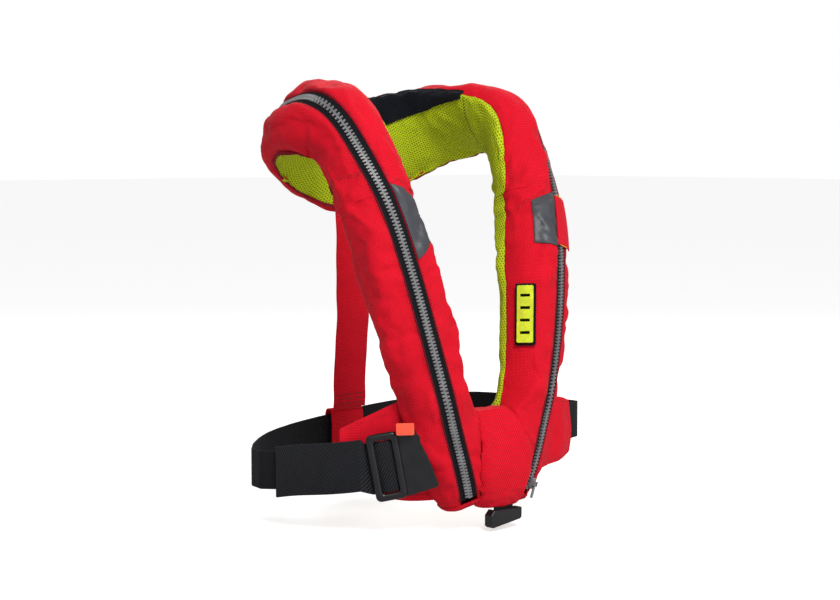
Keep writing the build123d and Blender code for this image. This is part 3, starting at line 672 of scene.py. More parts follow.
LINE_PIN, SEAM_PIN = 0.35, 0.7  # how firmly the lining's edges and the seams hold the cloth
SINK_MOST, RISE_MOST = 1.6 * MM, 4 * MM  # the padding inside keeps the cloth from sinking in
pins = np.zeros((ROWS, COLUMNS))
for _, r0, r1, lines in SPANS:
    pins[r0 : r1 + 1, lines] = LINE_PIN
pins[SEAM_ROWS, :] = SEAM_PIN
pins[:, [0, -1]] = 1
pins[[0, -1], :] = 1
sheet = mesh_object("loop_sheet", tube.reshape(-1, 3), grid_faces(ROWS, COLUMNS))
moved = simulate(sheet, pins.ravel(), 2.0, -0.05, 6 * MM).reshape(tube.shape)
bpy.data.objects.remove(sheet)
face, shift = outward_of(tube), moved - tube
depth = (shift * face).sum(2, keepdims=True)
shift += face * (np.clip(depth, -SINK_MOST, RISE_MOST) - depth)
tube = tube + shift * free

# soft broad folds and seam puckers on top of the simulated cloth
normal = outward_of(tube)
run_s = np.repeat(s_rows[:, None], COLUMNS, 1)
across_run = np.cumsum(np.linalg.norm(np.diff(tube, axis=1, prepend=tube[:, :1]), axis=2), axis=1)
edge_in = np.minimum(across_run, across_run[:, -1:] - across_run)


def crease_field(along, across, scale, octaves):
    """Noise stretched into folds: coordinates on the cloth, already in the fold's own directions."""
    points = np.stack([along.ravel(), across.ravel(), 0 * along.ravel()], 1)
    return soft_noise(points, scale, octaves).reshape(along.shape)


creases = crease_field(run_s, across_run * 0.45, 0.030, 4)
slant = run_s + 0.8 * across_run, across_run - 0.5 * run_s
sharp = np.maximum(0, 0.16 - np.abs(crease_field(slant[0], slant[1] * 0.35, 0.040, 2))) / 0.16
gather = np.zeros_like(sharp)
for row in SEAM_ROWS:
    gather += np.exp(-(((run_s - s_rows[row]) / (34 * MM)) ** 2))
pucker = np.sin(run_s * 2 * np.pi / (13 * MM) + 3 * creases) * np.exp(-edge_in / (7 * MM))
lift = 2.1 * MM * creases + (1.5 + 1.3 * gather) * MM * sharp + 0.7 * MM * pucker
lift *= free[..., 0]
mean_turn = np.repeat(mean_angle[None], ROWS, 0)
for side in (1, -1):
    near = np.exp(-(((run_s - seam_length(side, mean_turn)) / (4 * MM)) ** 2))
    wave = np.sin(across_run * 2 * np.pi / (11 * MM))
    lift += near * (0.4 * MM * wave - 1.8 * MM)
for _, r0, r1, lines in SPANS:
    for column in lines:
        away = (across_run - across_run[:, column : column + 1])[r0 : r1 + 1]
        lift[r0 : r1 + 1] -= 1.2 * MM * np.exp(-((away / (4 * MM)) ** 2))
lift *= np.minimum(1, edge_in / (2 * MM))
tube = tube + normal * lift[..., None]
loop_uv = np.stack([across_run, run_s], 2)


def on_cloth(s, angle, lift=0.0):
    """Points on the finished cloth, for what is sewn to it, and the cloth's normals there."""
    s, angle = np.ravel(s), np.ravel(angle)
    first = zip_edge_angle(loop.at(s)[4])
    column = np.clip((angle % 360 - first) / (360 - 2 * first), 0, 1) * (COLUMNS - 1.001)
    row = np.clip(np.interp(s, s_rows, np.arange(ROWS)), 0, ROWS - 1.001)
    i, j = row.astype(int), column.astype(int)
    f, g = (row - i)[:, None], (column - j)[:, None]

    def blend(grid):
        low = grid[i, j] * (1 - g) + grid[i, j + 1] * g
        return low * (1 - f) + (grid[i + 1, j] * (1 - g) + grid[i + 1, j + 1] * g) * f

    facing = unit(blend(normal))
    return blend(tube) + facing * lift, facing


TOE_DEPTH = 9 * MM


def toe_cap(rows, end):
    """Closes a lobe's toe: rings that shrink onto a rounded end."""
    centre = tube[rows].mean(0)
    along = unit(loop.at(s_rows[rows])[3][0]) * (-1 if end == 0 else 1)
    return np.array([
        centre + (tube[rows] - centre) * math.cos(a) + along * TOE_DEPTH * math.sin(a)
        for a in (0.4, 0.8, 1.2, 1.5)
    ])


def cut_cloth(name, row_range, column_range, material, slot, node):
    """One panel of the simulated tube as its own piece of cloth with thickness."""
    r0, r1 = max(row_range[0] - 1, 0), min(row_range[1] + 1, ROWS - 1)
    c0, c1 = column_range
    part = tube[r0 : r1 + 1, c0 : c1 + 1]
    uv = loop_uv[r0 : r1 + 1, c0 : c1 + 1]
    rows, columns = part.shape[:2]
    faces = grid_faces(rows, columns)
    if normal[r0, c0] @ np.cross(part[1, 0] - part[0, 0], part[0, 1] - part[0, 0]) > 0:
        faces = faces[:, ::-1]
    piece = mesh_object(name, part.reshape(-1, 3), faces, uv.reshape(-1, 2))
    modifier(piece, "SUBSURF", levels=1, render_levels=1)
    modifier(piece, "SOLIDIFY", thickness=CLOTH_THICK, offset=-1)
    apply_modifiers(piece)
    return place(piece, "jacket", slot, material, node)


LAST = COLUMNS - 1
for word, r0, r1, (front, rear) in SPANS:
    red, lime = MATERIALS["cover"], MATERIALS["lining"]
    cut_cloth(f"{word}_inner_cloth", (r0, r1), (0, front), red, "red_cloth", f"{word}_inner_cover")
    cut_cloth(f"{word}_lining_cloth", (r0, r1), (front, rear), lime, "lime_mesh", f"{word}_lining")
    cut_cloth(f"{word}_outer_cloth", (r0, r1), (rear, LAST), red, "red_cloth", f"{word}_outer_cover")


# ---------------------------------------------------------------- toes, fleece, piping
def loop_patch(name, ss, aa, lift, thick, material, slot, *nodes, wave=0.0, body="jacket", on=True):
    """A patch lying on the loop's surface, over a grid of lengths and section angles. Over the
    zip it follows the section's outline, elsewhere the finished cloth."""
    if np.ndim(ss) == 1:
        ss, aa = np.meshgrid(ss, aa, indexing="ij")
    points = on_cloth(ss, aa, lift)[0] if on else loop.point(ss, aa, lift)
    if wave:
        ripple = soft_noise(points, 0.02)[:, None]
        points = points + ripple * wave * unit(points - loop.at(np.ravel(ss))[0])
    grid = points.reshape(*ss.shape, 3)
    run = np.cumsum(np.linalg.norm(np.diff(grid, axis=1, prepend=grid[:, :1]), axis=2), axis=1)
    uv = np.stack([run, ss], 2).reshape(-1, 2)
    faces = grid_faces(*ss.shape)
    piece = mesh_object(name, points, faces, uv)
    modifier(piece, "SOLIDIFY", thickness=thick, offset=0)
    modifier(piece, "BEVEL", width=thick * 0.3, segments=2)
    apply_modifiers(piece)
    return place(piece, body, slot, material, *nodes)


for word, row, end in (("left", 0, 0), ("right", ROWS - 1, 1)):
    ring = np.vstack([tube[row][None], toe_cap(row, end)])
    count = ring.shape[1]
    points = np.vstack([ring.reshape(-1, 3), ring[-1].mean(0)[None]])
    faces = [tuple(f) for f in grid_faces(len(ring), count, closed=True)]
    base = (len(ring) - 1) * count
    faces += [(base + k, base + (k + 1) % count, len(points) - 1) for k in range(count)]
    run = np.linspace(0, 0.2, count)
    uv = np.array([(run[k % count], 0.01 * (k // count)) for k in range(len(points))])
    cap = mesh_object(f"{word}_toe_cloth", points, faces, uv)
    modifier(cap, "SOLIDIFY", thickness=1.2 * MM, offset=0)
    apply_modifiers(cap)
    place(cap, "jacket", "red_cloth", MATERIALS["cover"])


STITCH_PITCH = 3.6 * MM
STITCH_SIZE = (2.5 * MM, 0.8 * MM, 0.5 * MM)  # length, width, height
# one stitch in half sizes: a hexagon on the cloth under a smaller rectangle
STITCH_POINTS = (
    (-1, 0, -1), (-0.7, 1, -1), (0.7, 1, -1), (1, 0, -1), (0.7, -1, -1), (-0.7, -1, -1),
    (-0.7, 0.5, 1), (0.7, 0.5, 1), (0.7, -0.5, 1), (-0.7, -0.5, 1),
)
STITCH_FACES = (
    (0, 1, 6), (1, 2, 7, 6), (2, 3, 7), (3, 4, 8), (3, 8, 7), (4, 5, 9, 8), (5, 0, 9), (0, 6, 9),
    (6, 7, 8, 9),
)


def stitches(name, path, facing, material, body="jacket"):
    """A row of thread stitches along a path, lying on a surface that faces this way."""
    run = run_along(path)
    at = np.arange(STITCH_PITCH / 2, run[-1], STITCH_PITCH)
    middle = sample(at, run, path)
    up = unit(sample(at, run, facing))
    ahead = unit(sample(at + STITCH_PITCH / 4, run, path) - middle + 1e-9)
    side = np.cross(ahead, up)
    length, width, height = (v / 2 for v in STITCH_SIZE)
    points, faces = [], []
    for m, a, b, n in zip(middle, ahead, side, up):
        base = len(points)
        points += [m + a * u * length + b * v * width + n * w * height for u, v, w in STITCH_POINTS]
        faces += [tuple(base + k for k in face) for face in STITCH_FACES]
    return place(mesh_object(name, points, faces), body, THREAD_SLOTS[material.name], material)


def cloth_stitches(name, s, angle, thread="thread", lift=0.25 * MM):
    """Stitches through the loop's cloth, at lengths and section angles."""
    path, facing = on_cloth(s, angle, lift)
    return stitches(name, path, facing, MATERIALS[thread])


def spaced(start, stop, step):
    return np.linspace(start, stop, max(2, int(abs(stop - start) / step) + 1))


FLEECE_START = LINING_EDGE - 14
FLEECE_NARROW, FLEECE_GROWTH = 8, 62  # degrees round the section at the pad's ends, and more at its middle
nape_rows = [
    nearest_row(s_rows, s)
    for s in loop.run[np.where((loop.dense[:, 1] > 0.022) & (loop.dense[:, 2] > 0.33))[0][[0, -1]]]
]
nape_s = (s_rows[nape_rows[0]], s_rows[nape_rows[1]])
fleece_s = spaced(*nape_s, 6 * MM)
taper = np.sqrt(np.sin(np.pi * np.linspace(0.02, 0.98, len(fleece_s))))
fleece_share = np.linspace(0, 1, 14)
fleece_reach = FLEECE_NARROW + FLEECE_GROWTH * taper
fleece_angles = FLEECE_START + fleece_share[None] * fleece_reach[:, None]
loop_patch(
    "neck_fleece_pad", np.repeat(fleece_s[:, None], len(fleece_share), 1), fleece_angles, 1.6 * MM, 2.4 * MM,
    MATERIALS["fleece"], "black_fleece", "neck_fleece", wave=0.6 * MM,
)
cloth_stitches("fleece_stitching", fleece_s, FLEECE_START + fleece_reach + 1.2, "dark_thread")
collar_s = (LEFT_SEAM + 4 * MM, RIGHT_SEAM - 4 * MM)
loop_patch(
    "collar_piping_cord", spaced(*collar_s, 5 * MM), mean_angle[COLLAR_LINES[1]] + np.linspace(-4, 3.5, 8),
    0.9 * MM, 2.2 * MM, MATERIALS["piping"], "piping", "collar_piping",
)


# ---------------------------------------------------------------- zip
def surface_rows(s_values):
    """Crown of the loop and its directions, for things that lie along the zip."""
    centre, out, inboard, along, _, half_t = loop.at(s_values)
    return centre + out * half_t[:, None], out, inboard, along


def ribbon(name, middle, across, through, width, thick, material, slot, *nodes, body="jacket"):
    """A webbing with rounded edges swept along given stations. UV is in metres."""
    half, t = width / 2, thick / 2
    shape = [
        (-half, 0), (-half + t * 0.4, t * 0.8), (-half + t, t), (half - t, t), (half - t * 0.4, t * 0.8),
        (half, 0), (half - t * 0.4, -t * 0.8), (half - t, -t), (-half + t, -t), (-half + t * 0.4, -t * 0.8),
    ]
    count = len(shape)
    rings = [middle + across * u + through * v for u, v in shape]
    points = np.stack(rings, 1)
    uv = np.array([[(u, r) for u, _ in shape] for r in run_along(middle)]).reshape(-1, 2)
    faces = [tuple(f) for f in grid_faces(len(middle), count, closed=True)]
    faces += [tuple(range(count))[::-1], tuple((len(middle) - 1) * count + k for k in range(count))]
    piece = mesh_object(name, points.reshape(-1, 3), faces, uv, smooth=False)
    for polygon in piece.data.polygons:
        polygon.use_smooth = len(polygon.vertices) == 4
    face_outward(piece)
    if body is None:
        return piece
    return place(piece, body, slot, material, *nodes)


ZIP_MARGIN = 4 * MM
TAPE_OFF, TAPE_SINK, TAPE_SIZE = 6.5 * MM, 1.1 * MM, (7.2 * MM, 0.9 * MM)
BINDING_OFF, BINDING_SINK, BINDING_SIZE = 9.6 * MM, 0.2 * MM, (1.6 * MM, 1.8 * MM)
UNDERLAY_SINK, UNDERLAY_SIZE = 2.6 * MM, (17 * MM, 0.8 * MM)
zip_s = spaced(ZIP_MARGIN, loop.length - ZIP_MARGIN, 4 * MM)
crown, out, inboard, _ = surface_rows(zip_s)
first = zip_edge_angle(loop.at(zip_s)[4])
for word, sign in (("inner", 1), ("outer", -1)):
    middle = crown + inboard * (sign * TAPE_OFF) - out * TAPE_SINK
    ribbon(
        f"{word}_zip_tape_weave", middle, inboard, out, *TAPE_SIZE, MATERIALS["tape"], "zip_tape",
        f"{word}_zip_tape",
    )
    lip = crown + inboard * (sign * BINDING_OFF) - out * BINDING_SINK
    ribbon(f"{word}_zip_binding", lip, inboard, out, *BINDING_SIZE, MATERIALS["piping"], "piping")
    # one row of stitches through the tape and one through the cover's edge
    seam = middle + inboard * (sign * 2.4 * MM) + out * (0.5 * MM)
    stitches(f"{word}_tape_stitching", seam, out, MATERIALS["dark_thread"])
    cloth_stitches(f"{word}_edge_stitching", zip_s, sign * (first + 3.2))
ribbon(
    "zip_underlay", crown - out * UNDERLAY_SINK, inboard, out, *UNDERLAY_SIZE, MATERIALS["tape"], "zip_tape"
)

TOOTH_PITCH = 3.4 * MM
TOOTH_REACH, TOOTH_HALF, TOOTH_HEIGHT = 5.0 * MM, 1.25 * MM, 2.3 * MM
TOOTH_ROOT, TOOTH_SINK = 3.9 * MM, 0.5 * MM  # the tooth's root from the zip's middle, and below the crown
TOOTH = ((0, 0.75), (0.35, 1.0), (0.75, 1.0), (1.0, 0.8))  # share of reach, share of half length


def zip_teeth():
    """Both rows of moulded teeth: each tooth is a chamfered lug that reaches past the middle."""
    s = np.arange(ZIP_MARGIN + 2 * MM, loop.length - ZIP_MARGIN - 2 * MM, TOOTH_PITCH / 2)
    top, n, w, t = surface_rows(s)  # crown, outward, inboard and along
    points, faces = [], []
    for k in range(len(s)):
        side = 1 if k % 2 else -1
        origin = top[k] + w[k] * side * TOOTH_ROOT - n[k] * TOOTH_SINK
        inward = -w[k] * side
        base = len(points)
        for x, length in TOOTH:
            for v, shrink in ((0, 1), (TOOTH_HEIGHT * 0.72, 1), (TOOTH_HEIGHT, 0.62)):
                for along_sign in (-1, 1):
                    lug = inward * x * TOOTH_REACH + t[k] * along_sign * TOOTH_HALF * length * shrink
                    points.append(origin + lug + n[k] * v * (1 - 0.12 * x))
        for i in range(len(TOOTH) - 1):
            a, b = base + i * 6, base + (i + 1) * 6
            ring_a = [a, a + 2, a + 4, a + 5, a + 3, a + 1]
            ring_b = [b, b + 2, b + 4, b + 5, b + 3, b + 1]
            for j in range(6):
                m = (j + 1) % 6
                faces.append((ring_a[j], ring_a[m], ring_b[m], ring_b[j]))
        first = [base, base + 2, base + 4, base + 5, base + 3, base + 1]
        last = [f + (len(TOOTH) - 1) * 6 for f in first]
        faces += [tuple(first[::-1]), tuple(last)]
    piece = mesh_object("zip_teeth_chain", points, faces, smooth=False)
    face_outward(piece)
    return place(piece, "jacket", "zip_plastic", MATERIALS["teeth"], "zip_teeth")


zip_teeth()

# ---------------------------------------------------------------- straps
middle, across = read_band("waist_belt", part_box("waist_belt")[0])
# the belt's far end is tucked in behind the left wing
wing_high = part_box("left_wing")[1]
tuck_end = np.array([wing_high.x - 24 * MM, wing_high.y - 8 * MM, middle[-1][2]])
tuck = np.array([middle[-1] + (tuck_end - middle[-1]) * f for f in np.linspace(0, 1, 9)[1:]])
middle = np.vstack([middle, tuck])
across = np.vstack([across, np.repeat(across[-1:], len(tuck), 0)])
middle = middle + across * (soft_noise(middle, 0.09) * 1.2 * MM)[:, None]
ribbon(
    "waist_belt_web", middle, across, thickness_of(middle, across), *BELT_SIZE, MATERIALS["webbing"],
    "black_webbing", "waist_belt",
)

adjuster_low, adjuster_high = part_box("adjuster_strap")
hinge = next(j for j in frame["joints"] if j["name"] == "buckle_swing")
hinge_at, hinge_axis = np.array(hinge["pos_m"]), unit(np.array(hinge["axis"]))
STRAP_START_Z = 69 * MM
middle, across = read_band("adjuster_strap", (adjuster_high.x, adjuster_low.y, STRAP_START_Z))
# the strap's near end runs on and wraps the frame's outboard bar
frame_nodes = vertices("buckle_frame")
frame_middle = (frame_nodes.max(0) + frame_nodes.min(0)) / 2
outboard = unit(frame_middle - hinge_at)
outboard = unit(outboard - hinge_axis * (outboard @ hinge_axis))
hinge_up = hinge_axis * np.sign(hinge_axis[2])
face_out = unit(np.cross(outboard, hinge_up))
if face_out[1] > 0:
    face_out = -face_out
# from behind the inboard bar, up into the window, then behind the outboard bar: millimetres
# outboard of the hinge and out from the frame
WOVEN_PATH = (
    (2.5, -1.6), (6.0, -1.3), (8.6, 0.8), (10.5, 1.7), (14, 1.9),
    (18, 1.9), (21.5, 1.2), (24.5, -0.9), (28, -1.9), (34, -2.2),
)
joined = np.array([hinge_at + outboard * x * MM + face_out * y * MM for x, y in WOVEN_PATH])
lead = np.linspace(0, 1, 7)[1:-1]
bridge = np.array([joined[-1] + (middle[0] - joined[-1]) * f for f in lead])
path = np.vstack([joined, bridge, middle])
wrap_across = np.repeat(hinge_axis[None] * np.sign(across[0] @ hinge_axis), len(joined), 0)
bridge_across = np.array([unit(wrap_across[0] * (1 - f) + across[0] * f) for f in lead])
path_across = np.vstack([wrap_across, bridge_across, across])
adjuster = ribbon(
    "adjuster_strap_web", path, path_across, thickness_of(path, path_across), *ADJUSTER_SIZE,
    MATERIALS["ribbed"], "black_webbing", body=None,
)
adjuster.data.materials.append(MATERIALS["ribbed"])
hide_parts("adjuster_strap")
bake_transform(adjuster)

strap_low, strap_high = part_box("back_strap")
strap_nodes = vertices("back_strap")
strap_z = spaced(strap_high.z + 14 * MM, strap_low.z, 5 * MM)
levels = np.unique(strap_nodes[:, 2].round(4))
level_y = [strap_nodes[np.abs(strap_nodes[:, 2] - z) < 0.2 * MM, 1].mean() for z in levels]
strap_y = np.interp(strap_z, levels, level_y)
strap_x = (strap_low.x + strap_high.x) / 2
strap_mid = np.stack([0 * strap_z + strap_x, strap_y, strap_z], 1)
strap_mid[:, 1] += soft_noise(strap_mid, 0.07) * 2 * MM
ribbon(
    "back_strap_band", strap_mid, np.tile([1.0, 0, 0], (len(strap_z), 1)),
    np.tile([0, 1.0, 0], (len(strap_z), 1)), STRAP_WIDTH, 2.4 * MM, MATERIALS["strap"], "red_cloth",
    "back_strap",
)
loop_low, loop_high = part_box("belt_loop")
loop_mid = (np.array(loop_low) + np.array(loop_high)) / 2
half_y, half_z = (loop_high.y - loop_low.y) / 2 - 1 * MM, (loop_high.z - loop_low.z) / 2 - 1 * MM
turn = np.linspace(0, 2 * np.pi, 61)
LOOP_POWER = 0.55  # of the rounded oblong that the belt loop makes
ring = np.stack([
    0 * turn + loop_mid[0],
    loop_mid[1] + half_y * np.sign(np.cos(turn)) * np.abs(np.cos(turn)) ** LOOP_POWER,
    loop_mid[2] + half_z * np.sign(np.sin(turn)) * np.abs(np.sin(turn)) ** LOOP_POWER,
], 1)
ring_across = np.tile([1.0, 0, 0], (len(ring), 1))
ribbon(
    "belt_loop_web", ring, ring_across, np.cross(unit(np.gradient(ring, axis=0)), ring_across),
    STRAP_WIDTH, 1.8 * MM, MATERIALS["strap"], "red_cloth", "belt_loop",
)


# ---------------------------------------------------------------- soft pieces from CAD solids
def soft_copy(node, name, voxel, material, slot, crease, smooth=6, pressure=0.0, inset=0.0):
    """A CAD soft solid turned into padded cloth: remeshed, inflated, creased, subdivided."""
    piece = frame["nodes"][node].copy()
    piece.data = frame["nodes"][node].data.copy()
    piece.parent = None
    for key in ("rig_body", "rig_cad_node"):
        if key in piece:
            del piece[key]
    piece.name = piece.data.name = name
    bpy.context.scene.collection.objects.link(piece)
    modifier(piece, "REMESH", mode="VOXEL", voxel_size=voxel, use_smooth_shade=True)
    modifier(piece, "SMOOTH", factor=0.5, iterations=smooth)
    apply_modifiers(piece)
    if pressure:
        pins = np.zeros(len(piece.data.vertices))
        points = simulate(piece, pins + 0.15, pressure, -0.02, 5 * MM)
        piece.data.vertices.foreach_set("co", points.astype(np.float32).ravel())
    points = np.array([v.co for v in piece.data.vertices])
    normals = np.array([v.normal for v in piece.data.vertices])
    points += normals * (soft_noise(points, 0.03, 4) * crease - inset)[:, None]
    piece.data.vertices.foreach_set("co", points.astype(np.float32).ravel())
    modifier(piece, "SUBSURF", levels=1, render_levels=1)
    apply_modifiers(piece)
    for polygon in piece.data.polygons:
        polygon.use_smooth = True
    return place(piece, "jacket", slot, material, node)


soft_copy(
    "front_panel", "front_panel_cloth", 3 * MM, MATERIALS["panel"], "red_cloth", 1.5 * MM, pressure=3.0
)


def wing(name, node, path):
    """A side wing of padded cloth. The path's rows are shares of the CAD box along x and y, then
    the top and bottom edge as shares of its height; the first row is tucked into the lobe."""
    low, high = (np.array(c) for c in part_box(node))
    rows = np.array(path, float)
    rows = spline(rows, np.linspace(0, len(rows) - 1, 46))
    foot = low[:2] + rows[:, :2] * (high - low)[:2]
    share = np.linspace(0, 1, 34)
    z = low[2] + (rows[:, 3:] + (rows[:, 2:3] - rows[:, 3:]) * share[None]) * (high - low)[2]
    points = np.concatenate([np.repeat(foot[:, None], len(share), 1), z[..., None]], 2)
    facing = unit(np.cross(np.gradient(points, axis=0), np.gradient(points, axis=1)))
    facing *= -np.sign(facing[..., 1:2].mean())
    flat = points.reshape(-1, 3)
    folds = soft_noise(flat * np.array([1, 1, 0.45]), 0.03, 4) + 0.8 * np.abs(soft_noise(flat, 0.05, 2))
    puff = (4 * share * (1 - share))[None] * 3.2 * MM
    points = points + facing * (puff + 2.0 * MM * folds.reshape(points.shape[:2]))[..., None]
    uv = np.stack([np.repeat(run_along(foot)[:, None], len(share), 1), z], 2).reshape(-1, 2)
    piece = mesh_object(name, points.reshape(-1, 3), grid_faces(*points.shape[:2]), uv)
    modifier(piece, "SOLIDIFY", thickness=3.4 * MM, offset=0)
    modifier(piece, "BEVEL", width=1.2 * MM, segments=2)
    apply_modifiers(piece)
    place(piece, "jacket", "red_cloth", MATERIALS["strap"], node)
    for word, row in (("top", -3), ("bottom", 2)):
        path, face = points[8:, row], facing[8:, row]
        stitches(f"{name}_{word}_stitching", path + face * 1.9 * MM, face, MATERIALS["thread"])


wing("right_wing_cloth", "right_wing", (
    (1.28, -0.20, 1.0, 0.0), (1.0, 0.0, 1.0, 0.0), (0.68, 0.31, 1.0, 0.0), (0.31, 0.66, 0.86, 0.09),
    (0.0, 0.99, 0.72, 0.31),
))
wing("left_wing_cloth", "left_wing", (
    (-0.35, -0.4, 0.98, 0.0), (0.0, 0.1, 1.0, 0.0), (0.68, 0.62, 0.92, 0.05), (1.0, 0.98, 0.84, 0.12),
))
soft_copy(
    "folded_bladder", "folded_bladder_cloth", 5 * MM, MATERIALS["bladder"], "bladder", 0.6 * MM, smooth=4,
    inset=2.5 * MM,
)

# ---------------------------------------------------------------- patches and flap
# corners as (height of the lobe's centre, angle): zip side low, zip side high, far side high, far side low
PATCHES = (
    ("left", 1, ((0.272, 9), (0.328, 9), (0.318, 60), (0.276, 62))),
    ("right", -1, ((0.268, 12), (0.339, 12), (0.326, 46), (0.280, 46))),
)
for word, side, corners in PATCHES:
    (s0, a0), (s1, a1), (s2, a2), (s3, a3) = ((loop.length_at(z, side), a) for z, a in corners)
    up, out_share = np.meshgrid(np.linspace(0, 1, 16), np.linspace(0, 1, 12), indexing="ij")
    ss = (s0 + (s1 - s0) * up) * (1 - out_share) + (s3 + (s2 - s3) * up) * out_share
    aa = (a0 + (a1 - a0) * up) * (1 - out_share) + (a3 + (a2 - a3) * up) * out_share
    loop_patch(
        f"{word}_reflective_tape", ss, aa, 0.9 * MM, 0.9 * MM, MATERIALS["reflective"], "reflective",
        f"{word}_reflective_patch",
    )
    border = [(s0, a0), (s1, a1), (s2, a2), (s3, a3), (s0, a0)]
    edge_s = np.concatenate([np.linspace(p[0], q[0], 9) for p, q in zip(border, border[1:])])
    edge_a = np.concatenate([np.linspace(p[1], q[1], 9) for p, q in zip(border, border[1:])])
    cloth_stitches(f"{word}_tape_border", edge_s, edge_a, "dark_thread", 0.9 * MM)

# the burst flap wraps over the zip and holds down with tacks at its corners
flap_s = spaced(*(loop.length_at(z, 1) for z in (0.276, 0.324)), 4 * MM)
loop_patch(
    "burst_flap_cloth", flap_s, np.linspace(-32, 10.5, 15), 2.8 * MM, 1.5 * MM, MATERIALS["flap"],
    "red_cloth", "burst_flap", body="burst_flap", on=False,
)
for word, s_end in (("low", flap_s[0]), ("high", flap_s[-1])):
    tack = loop.point(np.full(8, s_end), np.linspace(-10, 8, 8), 4.0 * MM)
    facing = unit(tack - loop.at(s_end)[0])
    stitches(f"{word}_flap_tack", tack, facing, MATERIALS["yellow_thread"], body="burst_flap")

# ---------------------------------------------------------------- rigid CAD pieces
CAD_FINISH = {
    "accessory_ladder": "lime", "ladder_backing": "tape",
    "crotch_clip": "black", "crotch_webbing": "webbing", "pull_tab": "salmon", "pull_cord": "cord",
    "inflator_body": "black", "firing_lever": "orange", "cartridge_cap": "orange", "co2_cylinder": "steel",
    "cylinder_seal": "rubber", "bladder_manifold": "rubber", "oral_tube": "black",
    "oral_valve_poppet": "rubber", "oral_dust_cap": "orange", "whistle": "orange",
    "whistle_cord": "cord", "zip_slider": "teeth", "zip_pull_tab": "teeth",
}
BEVELS = {"crotch_clip": 1.2 * MM, "accessory_ladder": 0.8 * MM}
for node, finish in CAD_FINISH.items():
    thing = frame["nodes"][node]
    thing.data.materials.clear()
    thing.data.materials.append(MATERIALS[finish])
    width = BEVELS.get(node, 0.5 * MM)
    modifier(thing, "BEVEL", width=width, segments=3, limit_method="ANGLE", angle_limit=math.radians(40))


def rounded(half_x, half_y, radius, count=9):
    """Corner-rounded rectangle outline, as (x, y) points."""
    turns = np.linspace(0, np.pi / 2, count)
    corners = ((1, 1, 0), (-1, 1, 1), (-1, -1, 2), (1, -1, 3))
    return [
        (sx * (half_x - radius) + radius * math.cos(t + quarter * np.pi / 2),
         sy * (half_y - radius) + radius * math.sin(t + quarter * np.pi / 2))
        for sx, sy, quarter in corners for t in turns
    ]


# buckle frame: a thick moulded ring with a raised rim round its window
FRAME_MIDDLE = hinge_at + outboard * 16 * MM
# rings from the outside in: half width, half height, corner radius and height over the hinge
rings = (
    (16, 34, 5.5, 0.0), (16, 34, 5.5, 4.0), (14.6, 32.6, 4.5, 5.4),
    (11.4, 29.0, 4.0, 5.6), (9.3, 27.2, 3.4, 4.6), (9.0, 26.8, 3.2, 0.0),
)
frame_points = []
for half_x, half_y, radius, depth in rings:
    frame_points += [
        FRAME_MIDDLE + (outboard * x + hinge_up * y + face_out * depth) * MM
        for x, y in rounded(half_x, half_y, radius)
    ]
around = len(frame_points) // len(rings)
frame_faces = [tuple(f) for f in grid_faces(len(rings), around, closed=True)]
last_ring = (len(rings) - 1) * around
frame_faces += [(last_ring + k, last_ring + (k + 1) % around, (k + 1) % around, k) for k in range(around)]
buckle_ring = mesh_object("buckle_frame_moulding", frame_points, frame_faces)
modifier(buckle_ring, "BEVEL", width=0.5 * MM, segments=2, limit_method="ANGLE", angle_limit=math.radians(50))
apply_modifiers(buckle_ring)
place(buckle_ring, "buckle", "black_plastic", MATERIALS["black"], "buckle_frame")

# hook plate beside the buckle: a slanted plate
plate_outline = [(-0.8, 33.2), (19, 31.5), (21, 30), (32.2, -26), (31, -28.4), (-0.8, -33.2)]
PLATE_RISE = 0.17  # the plate lies up against the lobe
PLATE_THICK = 3.2
plate_points = [
    hinge_at - outboard * x * MM + hinge_up * y * MM + face_out * (depth + PLATE_RISE * max(x, 0)) * MM
    for depth in (0.0, PLATE_THICK) for x, y in plate_outline
]
plate = slab("hook_plate_moulding", plate_points, 0.9 * MM)
place(plate, "jacket", "black_plastic", MATERIALS["plate"], "hook_plate")

# webbing tongue that carries the crotch clip, from its bar up into the panel
eye_low, eye_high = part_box("crotch_webbing")
tongue_z = spaced(eye_high.z - 0.5 * MM, eye_high.z + 9 * MM, 2 * MM)
tongue_x, tongue_y = (eye_low.x + eye_high.x) / 2, (eye_low.y + eye_high.y) / 2
tongue = np.stack([0 * tongue_z + tongue_x, 0 * tongue_z + tongue_y, tongue_z], 1)
ribbon(
    "crotch_clip_web", tongue, np.tile([1.0, 0, 0], (len(tongue), 1)),
    np.tile([0, 1.0, 0], (len(tongue), 1)), 27 * MM, 2.0 * MM, MATERIALS["webbing"], "black_webbing",
)

# the clip's solid front cheek
clip_low, clip_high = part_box("crotch_clip")
cheek_outline = ((0.0, 0.11), (0.07, 0.0), (0.95, 0.28), (1.0, 0.39), (1.0, 0.93), (0.11, 1.0), (0.0, 0.72))
cheek_points = [
    (clip_low.x + (clip_high.x - clip_low.x) * u, y, clip_low.z + (clip_high.z - clip_low.z) * v)
    for y in (clip_low.y - 0.8 * MM, clip_low.y + 0.5 * MM) for u, v in cheek_outline
]
cheek = slab("crotch_clip_cheek", cheek_points, 0.7 * MM, flip=True)
place(cheek, "crotch_clip", "black_plastic", MATERIALS["black"])

